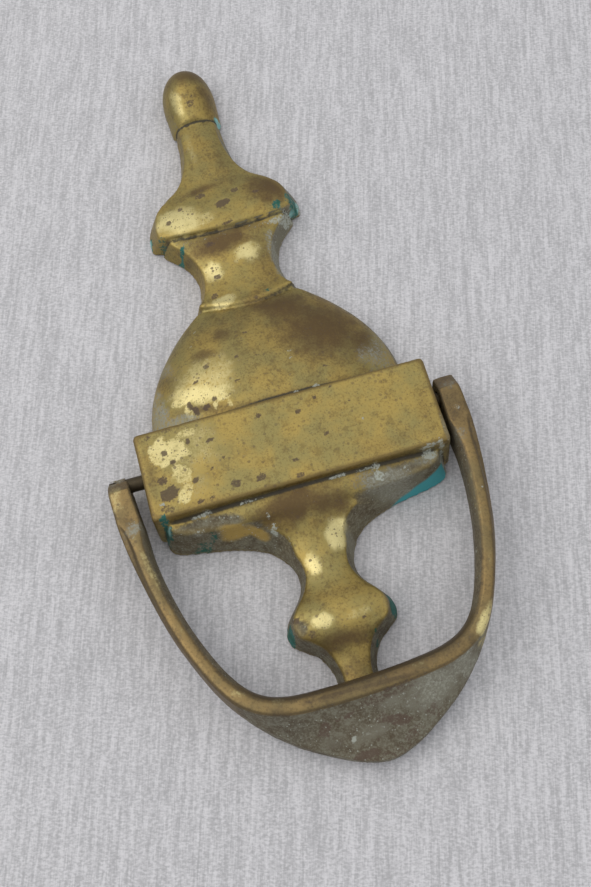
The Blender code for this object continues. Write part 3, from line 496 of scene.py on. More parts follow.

# ---------------------------------------------------------------- wear and weather on the castings, with painted highlights and painted shade
# A stain is (x, z, half-width, half-height, turn in degrees, strength) on the front of the casting.
# Each kind has its softness, its raggedness, its seed and its stains; some kinds also hold painted highlights or
# painted shade.

URN_STAINS = {
    # Bright patches: partly rubbed brass, partly painted highlights where the lamps' reflections fall, as on the
    # ball, the necks, the bulb and the left of the block.
    "worn_and_highlight": (0.7, 0.4, 11, (
        (-15.6, 23.4, 9.6, 7, 15, 0.65), (-18, 20, 8.4, 3.4, -14, 0.9), (-17.4, 26.6, 4, 2.4, 20, 0.45),
        (-22.4, 4, 8, 7, 0, 0.5), (-12, 0, 8, 6, 0, 0.25), (-25, -6, 5, 5, 0, 0.4), (-12, 74, 7, 4, -8, 1),
        (-5, 72, 4, 2.6, -8, 0.6), (-10.4, 70.4, 5, 1.8, -6, 0.8), (-6.7, 56.4, 2.8, 3.8, 10, 0.9),
        (3.9, 59, 3.2, 3, 20, 0.95), (-2, 57.6, 3.2, 2, 0, 0.3), (-6.4, 45.6, 3.6, 1.8, 12, 1),
        (0, 50, 8, 2, 0, 0.25), (-3.5, 112, 1.6, 5.4, 6, 0.75), (-3.2, 96, 1.4, 8, 2, 0.5),
        (5, -24.2, 2.9, 3.6, -20, 1.15), (-3, -29.8, 2, 3, 8, 0.9), (-4.2, -34.4, 1.4, 1.6, 0, 0.4),
        (-4.4, -44.5, 2.6, 1.8, -8, 0.9), (4, -44.9, 5, 1.4, 5, 0.55))),
    "bare": (0.3, 0.6, 13, (
        (-19, 19.4, 6.6, 1.9, -14, 0.8), (-24.4, 20.2, 2.4, 1.5, -20, 0.75), (-13, 17.1, 3, 1.2, -12, 0.75),
        (-22.2, 16.2, 0.9, 1.8, 6, 0.7), (-15.4, 15.2, 0.8, 1.6, -6, 0.7), (-11.6, 15, 0.8, 1.3, 4, 0.65),
        (-31, 5.6, 3, 4.2, 8, 0.78), (-27.8, 4.8, 3.8, 3.4, -20, 0.72), (-27.2, -1.4, 2.8, 3.6, 10, 0.68),
        (-28.2, -7.2, 1.7, 3, -18, 0.7), (-24.6, 8.4, 2.6, 1, 10, 0.6), (-10.8, 70.8, 4.6, 0.9, -6, 0.6),
        (-15, 73.2, 2.6, 2, 0, 0.5), (-6.8, 55.8, 1.3, 1.8, 10, 0.6))),
    "brown": (0.2, 0.5, 23, (
        (0.8, 75.2, 2.2, 1.3, 18, 1), (-14.6, 73.8, 0.8, 0.8, 0, 0.9), (-10.8, 77, 0.8, 0.7, 0, 0.8),
        (5.1, 78.7, 1, 0.7, 0, 0.8), (10.3, 76.5, 1.1, 0.7, 0, 0.7), (0.8, 68.8, 1.6, 0.5, 8, 0.8),
        (-4.4, 79.6, 1.6, 0.8, 8, 0.8), (0.1, 110.8, 1.3, 1, 0, 0.65), (1.2, 112.6, 0.6, 0.6, 0, 0.6),
        (-6, 54.3, 1.1, 0.8, 0, 0.8), (-8.1, 48.5, 1.1, 0.8, 30, 0.8), (2.3, 44.3, 0.6, 0.5, 0, 0.7),
        (-15, 27, 1, 0.8, 0, 0.7), (-18.6, 23.6, 1.1, 0.5, 30, 0.8), (-15.1, 17.3, 0.8, 0.7, 0, 0.8),
        (-17.7, 15.6, 1.2, 1, 20, 0.9), (-6.9, 26.9, 0.8, 0.6, 0, 0.8), (-8.5, 20.2, 0.9, 0.5, 0, 0.8),
        (-21.6, 17.8, 1, 1.4, 0, 0.8), (-20.2, 15.4, 0.8, 1.6, 10, 0.8), (-3.1, 33.5, 0.8, 0.5, 0, 0.7),
        (-5, 31.1, 0.6, 0.4, 0, 0.6), (13.7, 17.8, 0.8, 0.6, 0, 0.8), (-1.8, 25.7, 0.6, 0.5, 0, 0.6),
        (-30.1, 4.7, 0.9, 0.7, -30, 1), (-28.7, 2, 0.7, 0.6, 0, 1), (-24.2, 6.1, 1, 1.2, 20, 0.9),
        (-18.9, 4.8, 1.1, 0.5, 20, 0.9), (-7.5, -2.8, 0.6, 0.4, 0, 0.6), (-16.6, -0.4, 0.9, 0.5, 30, 0.7),
        (-20.1, -2.6, 0.9, 0.7, 0, 0.7), (-24.3, -4.2, 0.8, 1.2, -50, 0.9), (-32.2, -2.1, 1.2, 1.2, 0, 0.8),
        (-31.1, -5.9, 2.3, 1.7, 30, 0.9), (-15.5, -7.8, 1.4, 1, 10, 0.8), (-9.2, -8.1, 1.3, 0.9, 20, 0.8),
        (-0.1, -10, 0.9, 0.8, 0, 0.7), (-0.1, -6, 1, 0.5, 0, 0.8), (3.5, 6.1, 0.9, 0.7, 20, 1),
        (-5.9, 7.8, 0.7, 0.6, 0, 0.9), (8.6, 8.5, 0.6, 0.4, 0, 0.9), (16.7, 5.3, 0.5, 0.4, 0, 0.7),
        (13, 10.2, 0.7, 0.3, 0, 0.8), (8.8, -1.6, 0.6, 0.5, 0, 0.8), (-0.9, 1, 0.4, 0.4, 0, 0.6),
        (-24.4, -9.8, 1.1, 0.6, 0, 0.8), (-21.8, -9.7, 1.1, 0.7, 0, 0.8), (-33.6, 10, 2.2, 0.9, 10, 0.6),
        (-28, 10.4, 2.4, 0.7, 0, 0.6), (-10.5, -42.4, 1.3, 1.2, 0, 0.8), (-7.8, -46.8, 1.3, 0.9, 0, 0.7),
        (5, -46.2, 0.5, 0.4, 0, 0.9), (-5.6, 64.2, 1.4, 0.6, 0, 0.7), (-33, -9.4, 1.8, 1.2, 0, 0.6))),
    # Darker brown: tarnish, and painted shade at the top of the lower neck under the cap and at the foot of the upper
    # neck.
    "tarnish_and_shade": (1, 0.5, 31, (
        (16, 29.5, 12.5, 10, -30, 1), (8, 39, 9, 5, -20, 1), (24, 24, 5, 6, 20, 0.85), (4, 27, 16, 11, -14, 0.3),
        (-4, 38.6, 12, 6, 10, 0.45), (-9.1, 35.2, 2.6, 2.3, 0, 0.75), (-14.8, 30.8, 3.6, 1.5, -10, 0.7),
        (-26, 28, 3, 5, 30, 0.45), (-18.5, 15.4, 8, 1.2, -14, 0.7), (-3, 64, 8.4, 3, 0, 1.15),
        (0.5, 66.2, 11, 1.8, 0, 0.8), (-10, 63.6, 3, 2.4, 20, 0.7), (8.6, 62.4, 3.6, 2.6, -20, 0.5),
        (-3, 82, 6.5, 1.3, 4, 0.8), (3.8, 90, 2.6, 9, 0, 0.45), (1.6, 121.4, 6, 4.4, 0, 1), (5, 113, 2, 6, 0, 0.7),
        (1, 113, 3, 5, 0, 0.35), (1, 95, 6, 12, 0, 0.3), (8, 54, 3.6, 8, 0, 0.5), (15.4, 76.4, 6.2, 4.8, -20, 1.1),
        (12, 80.4, 4, 2.4, -24, 0.7), (3.4, 83, 6, 1.6, 0, 0.5), (-6, 103.4, 2.4, 1, 0, 0.4),
        (-4, -16, 9.5, 3.4, 6, 1.1), (4, -17.4, 6, 3.2, -10, 0.95), (1, -20.8, 2.4, 1.8, 0, 0.5),
        (20, -14, 12, 1.6, 4, 0.5), (-1, -49.8, 7, 2, 0, 0.9), (0, -57, 6, 4.6, 0, 0.6), (-10, -47.6, 3, 1.6, 0, 0.6),
        (33.4, -2, 2, 6, 0, 0.4), (22, -8.6, 12, 2.2, 4, 0.35), (-34.6, 0, 1.6, 9, 0, 0.5),
        (-24, -10.4, 8, 1, 0, 0.4), (0, -38.6, 7, 1.2, 0, 0.4))),
    "haze": (0.6, 0.5, 37, (
        (27.4, 18.4, 4.8, 3.8, -24, 0.65), (-30, 18.4, 3, 4.6, 8, 1), (-25, 14.9, 6, 1.5, -10, 0.95),
        (-30.6, 24, 2.6, 6, 16, 0.7), (-26.6, 33, 2.6, 6, 34, 0.6), (29.6, 24, 2.4, 6, -16, 0.6),
        (10.6, 58, 1.4, 6, 0, 0.9), (10.4, 52.4, 1.4, 3.2, 0, 0.7), (7.4, -26.4, 1.3, 3.4, 0, 0.6),
        (24, 36, 6, 1.2, -42, 0.4), (30.6, -13, 4.6, 1.4, 4, 0.8), (20, -16, 8, 2.6, -10, 1),
        (-6.6, 108, 1.2, 2.6, 0, 0.4), (-19, 71.6, 1.6, 3.6, 0, 0.3))),
    "patina": (0.5, 0.4, 41, (
        (-26, -15.4, 10, 2.6, -2, 1), (24, -15, 11, 2.4, 4, 0.75), (36.8, -8.6, 1, 4, 0, 0.8),
        (-13, -20.4, 3, 2, 30, 0.6), (15, -19, 5, 2, -20, 0.7), (8.6, -24, 1.6, 3, 20, 0.6),
        (-10.6, -44.6, 2.2, 2.6, 0, 0.7), (11.4, -44.6, 1.6, 2.6, 0, 0.5))),
    "green": (0.4, 0.5, 43, (
        (14.6, 71, 1.5, 1.9, 0, 0.75), (19.2, 71.8, 1.9, 2.6, 0, 0.75), (-14.6, 63.9, 2.6, 0.9, 40, 0.9),
        (5.7, 45.6, 1.2, 0.7, 0, 0.5), (-12.9, -44.6, 1.3, 3.4, 0, 0.9), (12.9, -43.8, 1.3, 3.2, 0, 0.9),
        (-34.4, -12.6, 1.2, 1.8, 0, 0.8), (-29, -17.2, 6, 0.8, 6, 0.6), (6.8, -52, 0.9, 2.6, 0, 0.6),
        (6.2, 106.2, 0.9, 1.2, 0, 1), (-21.4, 73.4, 1, 2.2, 0, 0.9), (-18, 69.6, 1.4, 0.9, 0, 0.6))),
    "lime": (0.4, 0.7, 57, (
        (13.9, 66.7, 3.8, 1, 12, 0.85), (18, 68.6, 2, 1.2, 0, 0.75), (10.8, 63.4, 1.2, 2.4, 0, 0.5),
        (4.8, 12.5, 0.9, 0.4, 0, 0.9), (10, 12.9, 0.9, 0.4, 0, 0.9), (18.2, -0.4, 0.45, 0.35, 0, 0.9),
        (-21.1, 0.6, 0.3, 0.3, 0, 0.7), (-9.4, -19.2, 0.9, 1.3, 0, 0.9), (-10.2, -16.6, 0.7, 0.7, 0, 0.8),
        (17.6, -14.6, 1.7, 1, 10, 0.85), (25.2, -14, 1.2, 0.7, 0, 0.6), (-27.3, -15.6, 1, 0.4, 0, 0.6),
        (31.6, -12.6, 2.6, 0.9, 4, 0.95), (34.6, -12.6, 0.8, 2, 0, 0.9), (-25.4, -12.2, 3, 0.6, 0, 0.85),
        (-14.4, -12.1, 3, 0.4, 0, 0.8), (8.3, -12.2, 2.6, 0.5, 0, 0.9), (16.2, -12.2, 2.4, 0.5, 0, 0.85),
        (-33.8, -12.6, 0.7, 0.6, 0, 0.9), (-15.6, 39.4, 0.7, 0.4, 20, 1), (-17.6, 34.8, 0.3, 0.3, 0, 1),
        (6.3, 24.4, 0.5, 0.25, 0, 0.7), (6.2, 22.4, 0.5, 0.25, 0, 0.7), (6.2, 106.2, 0.8, 1, 0, 0.8),
        (21, 72.4, 0.6, 2.4, 0, 0.8), (-21.4, 73.6, 0.9, 1.6, 0, 0.8), (-6.8, -22.7, 0.3, 1.2, 0, 0.6),
        (-33.4, -8, 0.6, 0.4, 0, 0.8))),
    "smear": (0.3, 0.3, 61, ((-18.8, -16.9, 3.6, 0.9, -10, 1), (-13.6, -18.5, 3.2, 0.7, -34, 0.9))),
    # Dark line along the join of the dome and the block: grime in the join and painted shade.
    "grime_and_shade": (0.5, 0.4, 67, (
        (4, 12.6, 16, 0.6, 0, 0.75), (20, 12.5, 8, 0.5, 0, 0.7), (-16, 12.4, 14, 0.3, 0, 0.5))),
}


# Lines round the urn: height at the sides, half-width, droop in the middle, thickness
CAP_LINE = (69.4, 18.4, 2.2, 0.6)
NECK_LINE = (46.7, 13.2, 3.5, 0.6)
FINIAL_LINE = (105.3, 6.2, 0.0, 0.6)
LIMED_LEDGE = (68.2, 18.0, 2.2, 1.1)
BLOCK_UNDERSIDE_Z = -11.5


def stain_mask(points, stains, ragged, seed, edge):
    """Strength of a list of stains at each point, with ragged outlines."""
    wander = cloud(points, 2.6, seed, 4) * ragged
    mask = np.zeros(len(points))
    for x, z, wide, high, turn, strength in stains:
        c = math.cos(math.radians(turn))
        s = math.sin(math.radians(turn))
        u = points[:, 0] - x
        v = points[:, 2] - z
        reach = np.hypot((u * c + v * s) / wide, (v * c - u * s) / high)
        reach += wander * min(1.0, 1.6 / max(wide, high) + 0.35)
        mask = np.maximum(mask, strength * (1.0 - step(reach, 1.0 - edge, 1.0 + edge)))
    return mask


def paint_stains(points, kinds, where):
    return {name: stain_mask(points, stains, ragged, seed, edge) * where
            for name, (edge, ragged, seed, stains) in kinds.items()}


def line_mask(points, height, half_width, droop, thick):
    """A line round the front at the given height, drooping in the middle like the casting's rows."""
    share = np.clip(1.0 - (points[:, 0] / half_width) ** 2, 0.0, 1.0)
    off = np.abs(points[:, 2] - (height - droop * share))
    reach = 1.0 - step(off, thick * 0.4, thick)
    return reach * (np.abs(points[:, 0]) < half_width + 1.0)


def dent(surface, normals, depth):
    """Push the surface in by depth, an array in millimetres."""
    surface.points -= normals * depth[:, None]


def wear_highlight_and_shade_urn(obj):
    surface = Surface(obj.data)
    surface.points = surface.relaxed(2, 0.5)
    normals = surface.normals()
    points = surface.points.copy()
    front = step(-normals[:, 1], -0.15, 0.25)
    behind = step(normals[:, 1], 0.1, 0.5)
    flat_back = step(points[:, 1], -0.35, -0.1)
    open_side = 1.0 - flat_back
    near = surface.smoothed(surface.hollow(normals, 8), 2)
    wide = surface.hollow(normals, 80)
    masks = paint_stains(points, URN_STAINS, open_side * (1.0 - behind))
    masks["behind"] = behind
    masks["shade"] = step(surface.smoothed(wide, 4), 0.15, 0.75)
    masks["edge"] = step(-near, 0.05, 0.2)
    masks["brown"] = masks["brown"] * front
    for name in ("worn_and_highlight", "bare"):
        masks[name] = masks[name] * step(-normals[:, 1], 0.2, 0.6)
    # Painted shade: the block's underside is browned and the inner corner under it darkened, as if in the block's own
    # shadow.
    below = step(-normals[:, 2], 0.8, 0.95) * step(-points[:, 1], 11.6, 12.2)
    below *= np.abs(points[:, 2] - BLOCK_UNDERSIDE_Z) < 0.4
    corner_line = below * step(points[:, 1], -14.2, -13.6)
    lines = line_mask(points, *CAP_LINE) * 0.8
    # Painted shade: the dark line under the neck's foot fades out towards the lit left side and stays on the right.
    lines += line_mask(points, *NECK_LINE) * step(points[:, 0], -10.0, 4.0) * 0.6
    lines += line_mask(points, *FINIAL_LINE)
    masks["grime_and_shade"] = np.maximum(masks["grime_and_shade"], np.maximum(corner_line * 0.5, lines * front))
    # Painted shade: the block's underside is browned.
    masks["tarnish_and_shade"] = np.maximum(masks["tarnish_and_shade"], below * 0.35)
    # Painted shade: the crease darkening at the neck's foot is weakened on the lit left side.
    near[(np.abs(points[:, 2] - 45.5) < 3.6) & (points[:, 0] < 0.0)] *= 0.4
    ledge = line_mask(points, *LIMED_LEDGE) * step(cloud(points, 2.0, 97, 3), -0.2, 0.7) * 0.5
    masks["lime"] = np.maximum(masks["lime"], ledge * front)
    rim = masks["edge"] * (np.abs(points[:, 2]) < 12.0) * step(-points[:, 1], 12.0, 13.5)
    masks["tarnish_and_shade"] = np.maximum(masks["tarnish_and_shade"], rim * 0.8)
    side_wall = (1.0 - step(-normals[:, 1], 0.35, 0.75)) * open_side * (1.0 - behind)
    side_wall *= step(np.abs(points[:, 2]), 11.9, 12.4) * step(-points[:, 2], -102.0, -98.0)
    left_upper = step(-points[:, 0], 0.0, 4.0) * step(points[:, 2], 12.0, 20.0)
    masks["patina"] = np.maximum(masks["patina"], side_wall * (0.8 - 0.5 * left_upper))
    low_right = step(-points[:, 2], 12.6, 14.0) * step(points[:, 0], 18.0, 22.0)
    corner = (points[:, 0] - 18.0) * 0.44 + points[:, 1] + cloud(points, 5.0, 99, 2) * 0.5
    masks["enamel"] = low_right * step(corner, -0.4, 0.6) * step(-normals[:, 2], 0.3, 0.6)
    masks["haze"] = np.maximum(masks["haze"], side_wall * step(points[:, 2], 48.0, 52.0) * (0.5 - 0.4 * left_upper))
    lines = surface.smoothed(masks.pop("grime_and_shade"), 1, 0.5)
    # Crevices, grooves and the lines above are darkened: partly grime, partly painted shade.
    masks["crevice"] = np.maximum(surface.smoothed(step(near, 0.05, 0.2) * 0.8, 2, 0.6), lines)
    dent(surface, normals, cloud(points, 12.0, 71, 3) * 0.06 * open_side)
    dent(surface, normals, cloud(points, 1.7, 77, 3) * 0.05 * (behind + masks["patina"] * 0.5) * open_side)
    dent(surface, normals, masks["brown"] * 0.06)
    dent(surface, normals, masks["edge"] * step(cloud(points, 2.4, 83, 3), 0.35, 0.9) * 0.16)
    dent(surface, normals, -masks["lime"] * step(cloud(points, 1.3, 89, 3), -0.2, 0.7) * 0.05)
    surface.points[:, 1] = np.minimum(surface.points[:, 1], 0.0)
    surface.store()
    for name, values in masks.items():
        surface.paint(name, values)


BAIL_STAINS = {
    # Bright patches: partly rubbed brass, partly painted highlights, as the sheen along the right arm's ridge near
    # the crossbar.
    "worn_and_highlight": (0.7, 0.5, 111, (
        (30.8, -56, 1.6, 5, -38, 0.95), (36.6, -42, 0.8, 5, -16, 0.4), (-27, -56.8, 3, 1.2, -30, 0.5),
        (-40.5, -20.7, 1, 9, 12, 0.5), (-36.4, -38, 1, 8, 16, 0.4), (-20, -60.6, 5, 1.2, -6, 0.35),
        (38.2, -26, 0.9, 13, -8, 0.4), (-44.4, -2, 2, 4, 0, 0.55), (14, -61.4, 5, 1, 3, 0.35))),
    "brown": (0.4, 0.7, 123, (
        (-44.3, -5.4, 1.2, 0.9, 0, 0.5), (-10.7, -68.5, 1.8, 1, 20, 0.8), (-5.5, -67.4, 2.4, 0.9, 10, 0.9),
        (-3.1, -75.8, 3.4, 1, 6, 0.9), (5.7, -70.6, 2.8, 1.1, -10, 0.8), (9, -73.4, 2.8, 1.2, 30, 0.6),
        (2, -69.6, 1.6, 1, 0, 0.6), (14, -70.6, 2, 1.4, 30, 0.6), (-16, -62, 2, 0.6, 0, 0.4),
        (0, -73.6, 1.6, 0.8, 20, 0.5), (1, -77.4, 9, 1.6, 4, 0.5), (5, -65.4, 10, 1.2, 8, 0.55))),
    "haze": (0.7, 0.6, 127, (
        (15.4, -66, 7, 3.2, 25, 0.95), (23.7, -62.2, 3.4, 3.6, 40, 0.95), (6, -66.6, 4, 1.2, 10, 0.5),
        (-1, -71.8, 4, 1.6, 10, 0.5), (-41.8, -11.6, 2.8, 1.8, 12, 0.9), (39.4, -10, 2.6, 1.8, 0, 0.6),
        (-44.6, 3.8, 3, 1.6, 0, 0.9), (41.6, 3.8, 3, 1.6, 0, 0.6), (-10, -71.4, 3, 1, -20, 0.4))),
    "tarnish_and_shade": (0.6, 0.5, 129, (
        (-18.6, -65.8, 5, 2.6, -35, 0.8), (-6, -62.6, 8, 0.7, 0, 0.7), (6, -62.9, 8, 0.7, 0, 0.7),
        (10, -60.6, 20, 2.4, 6, 0.5), (41, -2, 3, 6, 0, 0.5), (-44, -9, 3, 2, 0, 0.3))),
    "lime": (0.4, 0.7, 131, (
        (-5.1, -71.8, 0.8, 0.7, 0, 1), (40.5, -24.7, 0.3, 0.3, 0, 0.9), (34.4, -38.9, 0.3, 0.3, 0, 0.8),
        (41.4, -3, 0.6, 0.7, 0, 0.6), (-41.8, -9.6, 1.6, 0.3, 10, 0.7), (15, -65.4, 1.4, 0.6, 20, 0.4))),
}


def unlean(points):
    """Where points of the leaning bail were before it leaned."""
    back = np.array(lean_matrix().inverted())
    return points @ back[:3, :3].T + back[:3, 3]


def wear_highlight_and_shade_bail(obj):
    surface = Surface(obj.data)
    surface.points = surface.relaxed(2, 0.5)
    normals = surface.normals()
    points = surface.points.copy()
    straight = unlean(points)
    front = step(-normals[:, 1], -0.1, 0.3)
    behind = step(normals[:, 1], 0.1, 0.5)
    near = surface.smoothed(surface.hollow(normals, 6), 2)
    wide = surface.hollow(normals, 60)
    masks = paint_stains(points, BAIL_STAINS, front)
    ridge = step(-normals[:, 1], 0.9, 0.98) * step(-points[:, 1], 12.4, 13.0)
    leaf = step(-straight[:, 2], 55.0, 61.0) * step(-normals[:, 2], 0.2, 0.5) * step(straight[:, 1], -13.7, -12.9)
    upper = step(normals[:, 2], 0.3, 0.7) * step(-straight[:, 2], 50.0, 58.0)
    inner = step(-normals[:, 0] * np.sign(points[:, 0]), 0.3, 0.7) * (1.0 - upper)
    masks["tarnish_and_shade"] = np.maximum(masks["tarnish_and_shade"], np.maximum(0.5 * (1.0 - ridge) * (1.0 - leaf), upper * 0.85))
    masks["patina"] = np.maximum(leaf, np.maximum(0.3 * (1.0 - ridge), inner * 0.6))
    masks["haze"] *= np.maximum(leaf, step(points[:, 2], -15.0, -13.0))
    # Painted shade and grime: the crease under the overhanging ridge along the crossbar is darkened.
    masks["crevice"] = step(near, 0.04, 0.16) * step(-straight[:, 2], 40.0, 52.0)
    masks["shade"] = step(surface.smoothed(wide, 4), 0.12, 0.6)
    masks["edge"] = step(-near, 0.05, 0.2)
    masks["behind"] = behind
    masks["bare"] = np.zeros(len(points))
    dent(surface, normals, cloud(points, 9.0, 171, 3) * 0.05)
    dent(surface, normals, cloud(points, 1.4, 177, 3) * 0.04 * (0.25 + 0.75 * np.maximum(leaf, behind)))
    dent(surface, normals, masks["edge"] * step(cloud(points, 2.2, 183, 3), 0.4, 0.9) * 0.12)
    surface.store()
    for name, values in masks.items():
        surface.paint(name, values)


# ---------------------------------------------------------------- materials


def srgb(red, green, blue):
    """Linear colour from screen values of 0 to 255."""
    values = []
    for v in (red, green, blue):
        v /= 255.0
        values.append(v / 12.92 if v <= 0.04045 else ((v + 0.055) / 1.055) ** 2.4)
    return (*values, 1.0)


class Graph:
    """A material's node tree, built by small steps."""

    def __init__(self, name):
        self.material = bpy.data.materials.new(name)
        self.material.use_nodes = True
        self.tree = self.material.node_tree
        self.tree.nodes.clear()
        self.place = self.new("TexCoord").outputs["Object"]

    def new(self, kind, **settings):
        node = self.tree.nodes.new("ShaderNode" + kind)
        for key, value in settings.items():
            setattr(node, key, value)
        return node

    def feed(self, socket, value):
        if isinstance(value, bpy.types.NodeSocket):
            self.tree.links.new(value, socket)
        else:
            socket.default_value = value

    def math(self, operation, a, b):
        node = self.new("Math", operation=operation)
        self.feed(node.inputs[0], a)
        self.feed(node.inputs[1], b)
        return node.outputs[0]

    def times(self, a, b):
        return self.math("MULTIPLY", a, b)

    def plus(self, a, b):
        return self.math("ADD", a, b)

    def most(self, a, b):
        return self.math("MAXIMUM", a, b)

    def smooth(self, value, low, high):
        node = self.new("MapRange", interpolation_type="SMOOTHSTEP")
        self.feed(node.inputs["Value"], value)
        self.feed(node.inputs["From Min"], low)
        self.feed(node.inputs["From Max"], high)
        return node.outputs["Result"]

    def noise(self, size, detail=3.0, rough=0.55, stretch=None):
        """Noise with lumps about size millimetres across, stretched along an axis if asked."""
        node = self.new("TexNoise")
        place = self.place
        if stretch is not None:
            mapping = self.new("Mapping")
            self.feed(mapping.inputs["Vector"], place)
            self.feed(mapping.inputs["Scale"], stretch)
            place = mapping.outputs["Vector"]
        self.feed(node.inputs["Vector"], place)
        self.feed(node.inputs["Scale"], 1.0 / (size * MM))
        self.feed(node.inputs["Detail"], detail)
        self.feed(node.inputs["Roughness"], rough)
        return node.outputs["Fac"]

    def cells(self, size):
        """Distance from scattered points about size millimetres apart, and a random colour for each."""
        node = self.new("TexVoronoi")
        self.feed(node.inputs["Vector"], self.place)
        self.feed(node.inputs["Scale"], 1.0 / (size * MM))
        return node.outputs["Distance"], node.outputs["Color"]

    def attribute(self, name):
        return self.new("Attribute", attribute_name=name).outputs["Fac"]

    def blend(self, amount, a, b):
        node = self.new("Mix", data_type="RGBA")
        self.feed(node.inputs[0], amount)
        self.feed(node.inputs[6], a)
        self.feed(node.inputs[7], b)
        return node.outputs[2]

    def mix(self, amount, a, b):
        node = self.new("Mix", data_type="FLOAT")
        self.feed(node.inputs[0], amount)
        self.feed(node.inputs[2], a)
        self.feed(node.inputs[3], b)
        return node.outputs[0]

    def rough_edge(self, mask, noise, spread, low=0.35, high=0.6):
        """A mask whose outline is broken up by noise of 0 to 1."""
        shift = self.times(self.math("SUBTRACT", noise, 0.5), spread)
        return self.smooth(self.plus(mask, shift), low, high)

    def specks(self, size, share, amount):
        """Small scattered dots: share of the cells hold one, fading where amount is low."""
        distance, colour = self.cells(size)
        picked = self.new("SeparateColor")
        self.feed(picked.inputs[0], colour)
        chance = self.smooth(picked.outputs[0], 1.0 - share, 1.02 - share)
        reach = self.mix(picked.outputs[1], 0.16, 0.42)
        inside = self.smooth(self.math("SUBTRACT", reach, distance), -0.04, 0.08)
        return self.times(self.times(inside, chance), amount)

    def finish(self, colour, metal, rough, height, depth):
        shader = self.new("BsdfPrincipled")
        output = self.new("OutputMaterial")
        bump = self.new("Bump")
        self.feed(bump.inputs["Strength"], 1.0)
        self.feed(bump.inputs["Distance"], depth * MM)
        self.feed(bump.inputs["Height"], height)
        self.feed(shader.inputs["Base Color"], colour)
        self.feed(shader.inputs["Metallic"], metal)
        self.feed(shader.inputs["Roughness"], rough)
        self.feed(shader.inputs["Normal"], bump.outputs["Normal"])
        self.feed(output.inputs["Surface"], shader.outputs["BSDF"])
        return self.material


# The bright colour serves both rubbed brass and painted highlights; the brown and the grime colours serve both real
# tarnish and grime and painted shade.
OLIVE = srgb(150, 137, 86)
GOLD = srgb(172, 148, 84)
BRIGHT = srgb(218, 202, 142)
BROWN = srgb(96, 75, 46)
SPOT = srgb(88, 70, 56)
GRIME_AND_SHADE = srgb(44, 40, 30)
VERDIGRIS = srgb(38, 104, 98)
ENAMEL = srgb(68, 156, 160)
DEEP_GREEN = srgb(34, 84, 66)
CYAN = srgb(150, 196, 190)
LIME = srgb(172, 174, 160)
HAZE = srgb(152, 150, 134)
PATINA = srgb(120, 117, 101)
PATINA_BROWN = srgb(76, 63, 44)
SMEAR = srgb(182, 150, 72)
CAST = srgb(92, 82, 58)


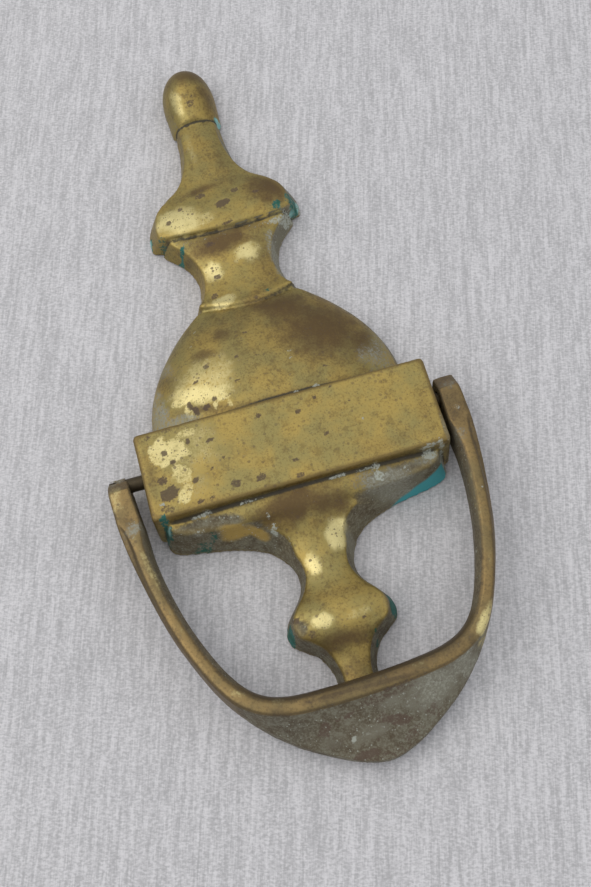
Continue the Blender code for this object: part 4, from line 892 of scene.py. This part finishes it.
# Aged brass: wear, tarnish, deposits and verdigris, together with painted highlights in the worn patches and painted
# shade in the shade, crevice and tarnish layers.
def aged_brass(name, olive, gold, brown):
    g = Graph(name)
    broad = g.noise(9.0, 4.0)
    middle = g.noise(2.4, 5.0, 0.6)
    fine = g.noise(0.6, 4.0, 0.65)
    grain = g.noise(0.2, 2.0, 0.6)
    brush = g.noise(0.5, 3.0, 0.6, (0.12, 1.0, 1.0))
    grit = g.plus(g.times(middle, 0.45), g.times(fine, 0.55))
    worn_and_highlight = g.rough_edge(g.attribute("worn_and_highlight"), grit, 1.5, 0.3, 1.0)
    bare = g.rough_edge(g.attribute("bare"), grit, 2.1, 0.34, 0.9)
    worn_and_highlight = g.most(worn_and_highlight, bare)
    tarnish_and_shade = g.rough_edge(g.attribute("tarnish_and_shade"), grit, 0.8, -0.05, 1.05)
    haze = g.rough_edge(g.attribute("haze"), grit, 2.0, 0.15, 1.15)
    patina = g.rough_edge(g.attribute("patina"), grit, 0.9, 0.2, 0.8)
    brown_spots = g.rough_edge(g.attribute("brown"), fine, 1.6, 0.36, 0.8)
    green = g.rough_edge(g.attribute("green"), grit, 2.4, 0.42, 0.8)
    enamel = g.attribute("enamel")
    lime = g.times(g.rough_edge(g.attribute("lime"), fine, 2.6, 0.45, 0.95), 0.85)
    crevice = g.rough_edge(g.attribute("crevice"), fine, 0.3, 0.3, 0.75)
    shade = g.attribute("shade")
    edge = g.attribute("edge")
    behind = g.attribute("behind")
    colour = g.blend(g.smooth(broad, 0.36, 0.64), olive, gold)
    colour = g.blend(g.times(g.smooth(middle, 0.48, 0.72), 0.4), colour, brown)
    colour = g.blend(g.times(g.smooth(fine, 0.48, 0.72), 0.4), colour, brown)
    colour = g.blend(g.times(g.smooth(grain, 0.48, 0.7), 0.3), colour, gold)
    colour = g.blend(g.times(shade, 0.5), colour, brown)
    colour = g.blend(g.times(tarnish_and_shade, 0.95), colour, brown)
    dull_colour = g.blend(g.smooth(grit, 0.38, 0.62), PATINA, PATINA_BROWN)
    dull_colour = g.blend(g.times(g.smooth(fine, 0.55, 0.7), 0.35), dull_colour, HAZE)
    colour = g.blend(g.times(patina, 0.9), colour, dull_colour)
    colour = g.blend(g.times(g.attribute("smear"), 0.8), colour, SMEAR)
    # Bright brass over the worn patches: rubbed wear and painted highlights.
    colour = g.blend(worn_and_highlight, colour, g.blend(g.times(g.smooth(fine, 0.48, 0.68), 0.35), BRIGHT, gold))
    colour = g.blend(g.times(edge, 0.3), colour, gold)
    colour = g.blend(g.times(haze, g.mix(g.smooth(fine, 0.4, 0.6), 0.35, 0.95)), colour, HAZE)
    specks = g.specks(1.1, 0.2, g.mix(worn_and_highlight, 0.4, 0.8))
    dots = g.specks(0.5, 0.32, g.mix(worn_and_highlight, 0.35, 0.9))
    spots = g.most(g.most(specks, dots), brown_spots)
    colour = g.blend(g.times(spots, 0.8), colour, SPOT)
    colour = g.blend(g.times(behind, 0.75), colour, CAST)
    # Darkening in crevices and grooves: grime and painted shade.
    colour = g.blend(g.times(crevice, 0.9), colour, GRIME_AND_SHADE)
    flecks = g.specks(0.55, 0.12, g.times(patina, 0.6))
    lime = g.most(lime, flecks)
    colour = g.blend(lime, colour, LIME)
    green_colour = g.blend(g.smooth(middle, 0.35, 0.7), VERDIGRIS, DEEP_GREEN)
    colour = g.blend(green, colour, g.blend(g.attribute("lime"), green_colour, CYAN))
    colour = g.blend(enamel, colour, ENAMEL)
    green = g.most(green, enamel)
    dull = g.most(green, g.most(lime, g.times(patina, 0.75)))
    dull = g.most(dull, g.times(haze, 0.6))
    metal = g.mix(g.times(crevice, 0.9), 0.96, 0.0)
    metal = g.mix(g.times(spots, 0.7), metal, 0.2)
    metal = g.mix(g.times(tarnish_and_shade, 0.4), metal, 0.3)
    metal = g.mix(dull, metal, 0.0)
    rough = g.mix(worn_and_highlight, g.mix(fine, 0.36, 0.52), g.mix(fine, 0.28, 0.42))
    rough = g.mix(tarnish_and_shade, rough, 0.5)
    rough = g.mix(g.most(spots, crevice), rough, 0.68)
    rough = g.mix(g.most(dull, behind), rough, 0.82)
    height = g.plus(g.times(fine, 0.6), g.times(grain, 0.3))
    height = g.plus(height, g.times(brush, 0.25))
    height = g.math("SUBTRACT", height, g.times(spots, 0.8))
    height = g.plus(height, g.times(dull, 0.6))
    return g.finish(colour, metal, rough, height, 0.022)


# ---------------------------------------------------------------- pieces


def settle(obj, name, body, node, material):
    """Bring a finished piece to metres, name it and let it stand for its CAD node."""
    obj.data.transform(Matrix.Scale(MM, 4))
    obj.name = name
    obj.data.name = name
    obj.data.shade_smooth()
    obj.data.materials.clear()
    obj.data.materials.append(material)
    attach(obj, body)
    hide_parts(node)


def make_pin(side):
    outer = BLOCK_WIDTH / 2.0 + 7.7 + side * BAIL_SHIFT_X
    length = outer - PIN_INNER_X
    chamfer = 0.4
    profile = []
    steps = 6
    for k in range(steps + 1):
        angle = math.pi / 2.0 * k / steps
        profile.append((chamfer - chamfer * math.cos(angle), PIN_RADIUS - chamfer + chamfer * math.sin(angle)))
    rows = profile + [(length * k / 40.0, PIN_RADIUS) for k in range(2, 39)]
    rows += [(length - d, r) for d, r in reversed(profile)]
    pin = turned("pin", rows, (side * PIN_INNER_X, HINGE_Y, HINGE_Z), (side, 0.0, 0.0), 64)
    surface = Surface(pin.data)
    normals = surface.normals()
    rim = step(cloud(surface.points, 3.0, 205, 3), 0.2, 0.8)
    dent(surface, normals, 0.015 + rim * 0.02)
    surface.store()
    for name in URN_STAINS:
        surface.paint(name, np.zeros(len(surface.points)))
    surface.paint("tarnish_and_shade", np.full(len(surface.points), 0.9))
    return pin


urn = make_urn()
wear_highlight_and_shade_urn(urn)
settle(urn, "urn_cast_brass", "urn", "urn_casting", aged_brass("aged_urn_brass", OLIVE, GOLD, BROWN))

bail = make_bail()
wear_highlight_and_shade_bail(bail)
settle(bail, "bail_cast_brass", "bail", "bail",
       aged_brass("aged_bail_brass", srgb(126, 110, 76), srgb(144, 121, 80), srgb(82, 68, 50)))

pin_material = aged_brass("aged_pin_brass", srgb(104, 98, 74), srgb(124, 108, 74), srgb(72, 62, 46))
for side, label in ((-1.0, "left"), (1.0, "right")):
    settle(make_pin(side), "hinge_pin_%s_bar" % label, "urn", "hinge_pin_" + label, pin_material)

# ---------------------------------------------------------------- camera, surface and light

CAMERA_PLACE = Vector((-12.2, -289.0, -121.6)) * MM
CAMERA_TILT_DEG = 23.6
CAMERA_YAW_DEG = -2.74
CAMERA_ROLL_DEG = -16.6
CAMERA_LENS = 50.3
FILM_LONG_SIDE = 36.0
CLOTH_TURN_DEG = 16.6
CLOTH_SIZE = 3000.0
CLOTH_Y = 0.4
CLOTH_INSET = 1.8  # from the urn's outline to the opening behind it
CLOTH_EDGE_STEP = 2.0


def camera_axes():
    """The camera's right, up and back directions."""
    tilt = math.radians(CAMERA_TILT_DEG)
    yaw = math.radians(CAMERA_YAW_DEG)
    roll = math.radians(CAMERA_ROLL_DEG)
    back = Vector((math.sin(yaw) * math.cos(tilt), -math.cos(yaw) * math.cos(tilt), -math.sin(tilt)))
    level = (-back).cross(Vector((0.0, 0.0, 1.0))).normalized()
    upright = level.cross(-back)
    right = level * math.cos(roll) + upright * math.sin(roll)
    up = upright * math.cos(roll) - level * math.sin(roll)
    return right, up, back


RIGHT, UP, BACK = camera_axes()


def make_camera():
    data = bpy.data.cameras.new("camera")
    data.lens = CAMERA_LENS
    data.sensor_width = FILM_LONG_SIDE
    data.clip_start = 0.01
    camera = new_object("camera", data)
    columns = Matrix((RIGHT, UP, BACK)).transposed().to_4x4()
    camera.matrix_world = Matrix.Translation(CAMERA_PLACE) @ columns
    bpy.context.scene.camera = camera


def make_surface():
    """The pale cloth under the knocker, open to view from behind and cut out behind the urn to let light in there."""
    edge = []
    for height, width in [row[:2] for run in URN_RUNS for row in run[:-1]]:
        if not edge or math.dist(edge[-1], (width, height)) > CLOTH_EDGE_STEP:
            edge.append((width, height))
    hidden = []
    for before, (x, z), after in zip(edge, edge[1:], edge[2:]):
        inset = CLOTH_INSET / math.dist(before, after)
        hidden.append((x - (after[1] - before[1]) * inset, z + (after[0] - before[0]) * inset))
    reach = CLOTH_SIZE / 2.0
    corners = [(-reach, -reach), (reach, -reach), (reach, reach), (-reach, reach)]
    loops = (hidden + [(-x, z) for x, z in reversed(hidden)], corners)
    turn = Matrix.Rotation(math.radians(CLOTH_TURN_DEG), 4, "Y")
    bm = bmesh.new()
    for loop in loops:
        verts = [bm.verts.new(turn.inverted() @ Vector((x, CLOTH_Y, z)) * MM) for x, z in loop]
        for k, vert in enumerate(verts):
            bm.edges.new((vert, verts[k - 1]))
    bmesh.ops.triangle_fill(bm, edges=bm.edges, normal=(0.0, -1.0, 0.0))
    bmesh.ops.reverse_faces(bm, faces=[face for face in bm.faces if face.normal.y > 0.0])
    mesh = bpy.data.meshes.new("pale_surface")
    bm.to_mesh(mesh)
    bm.free()
    surface = new_object("pale_surface", mesh)
    surface.matrix_world = turn
    g = Graph("pale_surface")
    shader = g.new("BsdfPrincipled")
    warp = g.noise(0.9, 3.0, 0.8, (1.0, 1.0, 0.08))
    weft = g.noise(0.5, 2.0, 0.7, (0.5, 1.0, 1.0))
    weave = g.smooth(g.plus(warp, weft), 0.7, 1.3)
    g.feed(shader.inputs["Base Color"], g.blend(weave, srgb(174, 171, 170), srgb(216, 212, 211)))
    shader.inputs["Roughness"].default_value = 0.9
    clear = g.new("BsdfTransparent")
    choose = g.new("MixShader")
    g.feed(choose.inputs[0], g.new("NewGeometry").outputs["Backfacing"])
    g.feed(choose.inputs[1], shader.outputs[0])
    g.feed(choose.inputs[2], clear.outputs[0])
    g.feed(g.new("OutputMaterial").inputs["Surface"], choose.outputs[0])
    mesh.materials.append(g.material)


def soft_light(name, direction, distance, size, watts, colour):
    """An area lamp that faces the knocker from a direction given along the camera's right, up and back."""
    data = bpy.data.lights.new(name, "AREA")
    data.shape = "RECTANGLE"
    data.size, data.size_y = size
    data.energy = watts
    data.color = colour
    lamp = new_object(name, data)
    x, y, z = Vector(direction).normalized()
    way = RIGHT * x + UP * y + BACK * z
    lamp.location = way * distance
    lamp.rotation_mode = "QUATERNION"
    lamp.rotation_quaternion = way.to_track_quat("Z", "Y")


def make_world():
    world = bpy.data.worlds.new("soft_room")
    world.use_nodes = True
    background = world.node_tree.nodes["Background"]
    background.inputs["Color"].default_value = (0.80, 0.84, 0.90, 1.0)
    background.inputs["Strength"].default_value = 0.74
    bpy.context.scene.world = world


make_camera()
make_surface()
make_world()
soft_light("ceiling", (-0.12, 0.62, 0.78), 1.1, (1.3, 1.3), 2.5, (0.97, 0.98, 1.0))
soft_light("window_left", (-0.66, 0.30, 0.66), 0.85, (0.6, 0.9), 2.0, (1.0, 0.98, 0.95))
soft_light("window_right", (0.72, -0.22, 0.64), 0.9, (0.5, 0.6), 0.6, (0.95, 0.97, 1.0))
bpy.context.scene.view_settings.view_transform = "Standard"
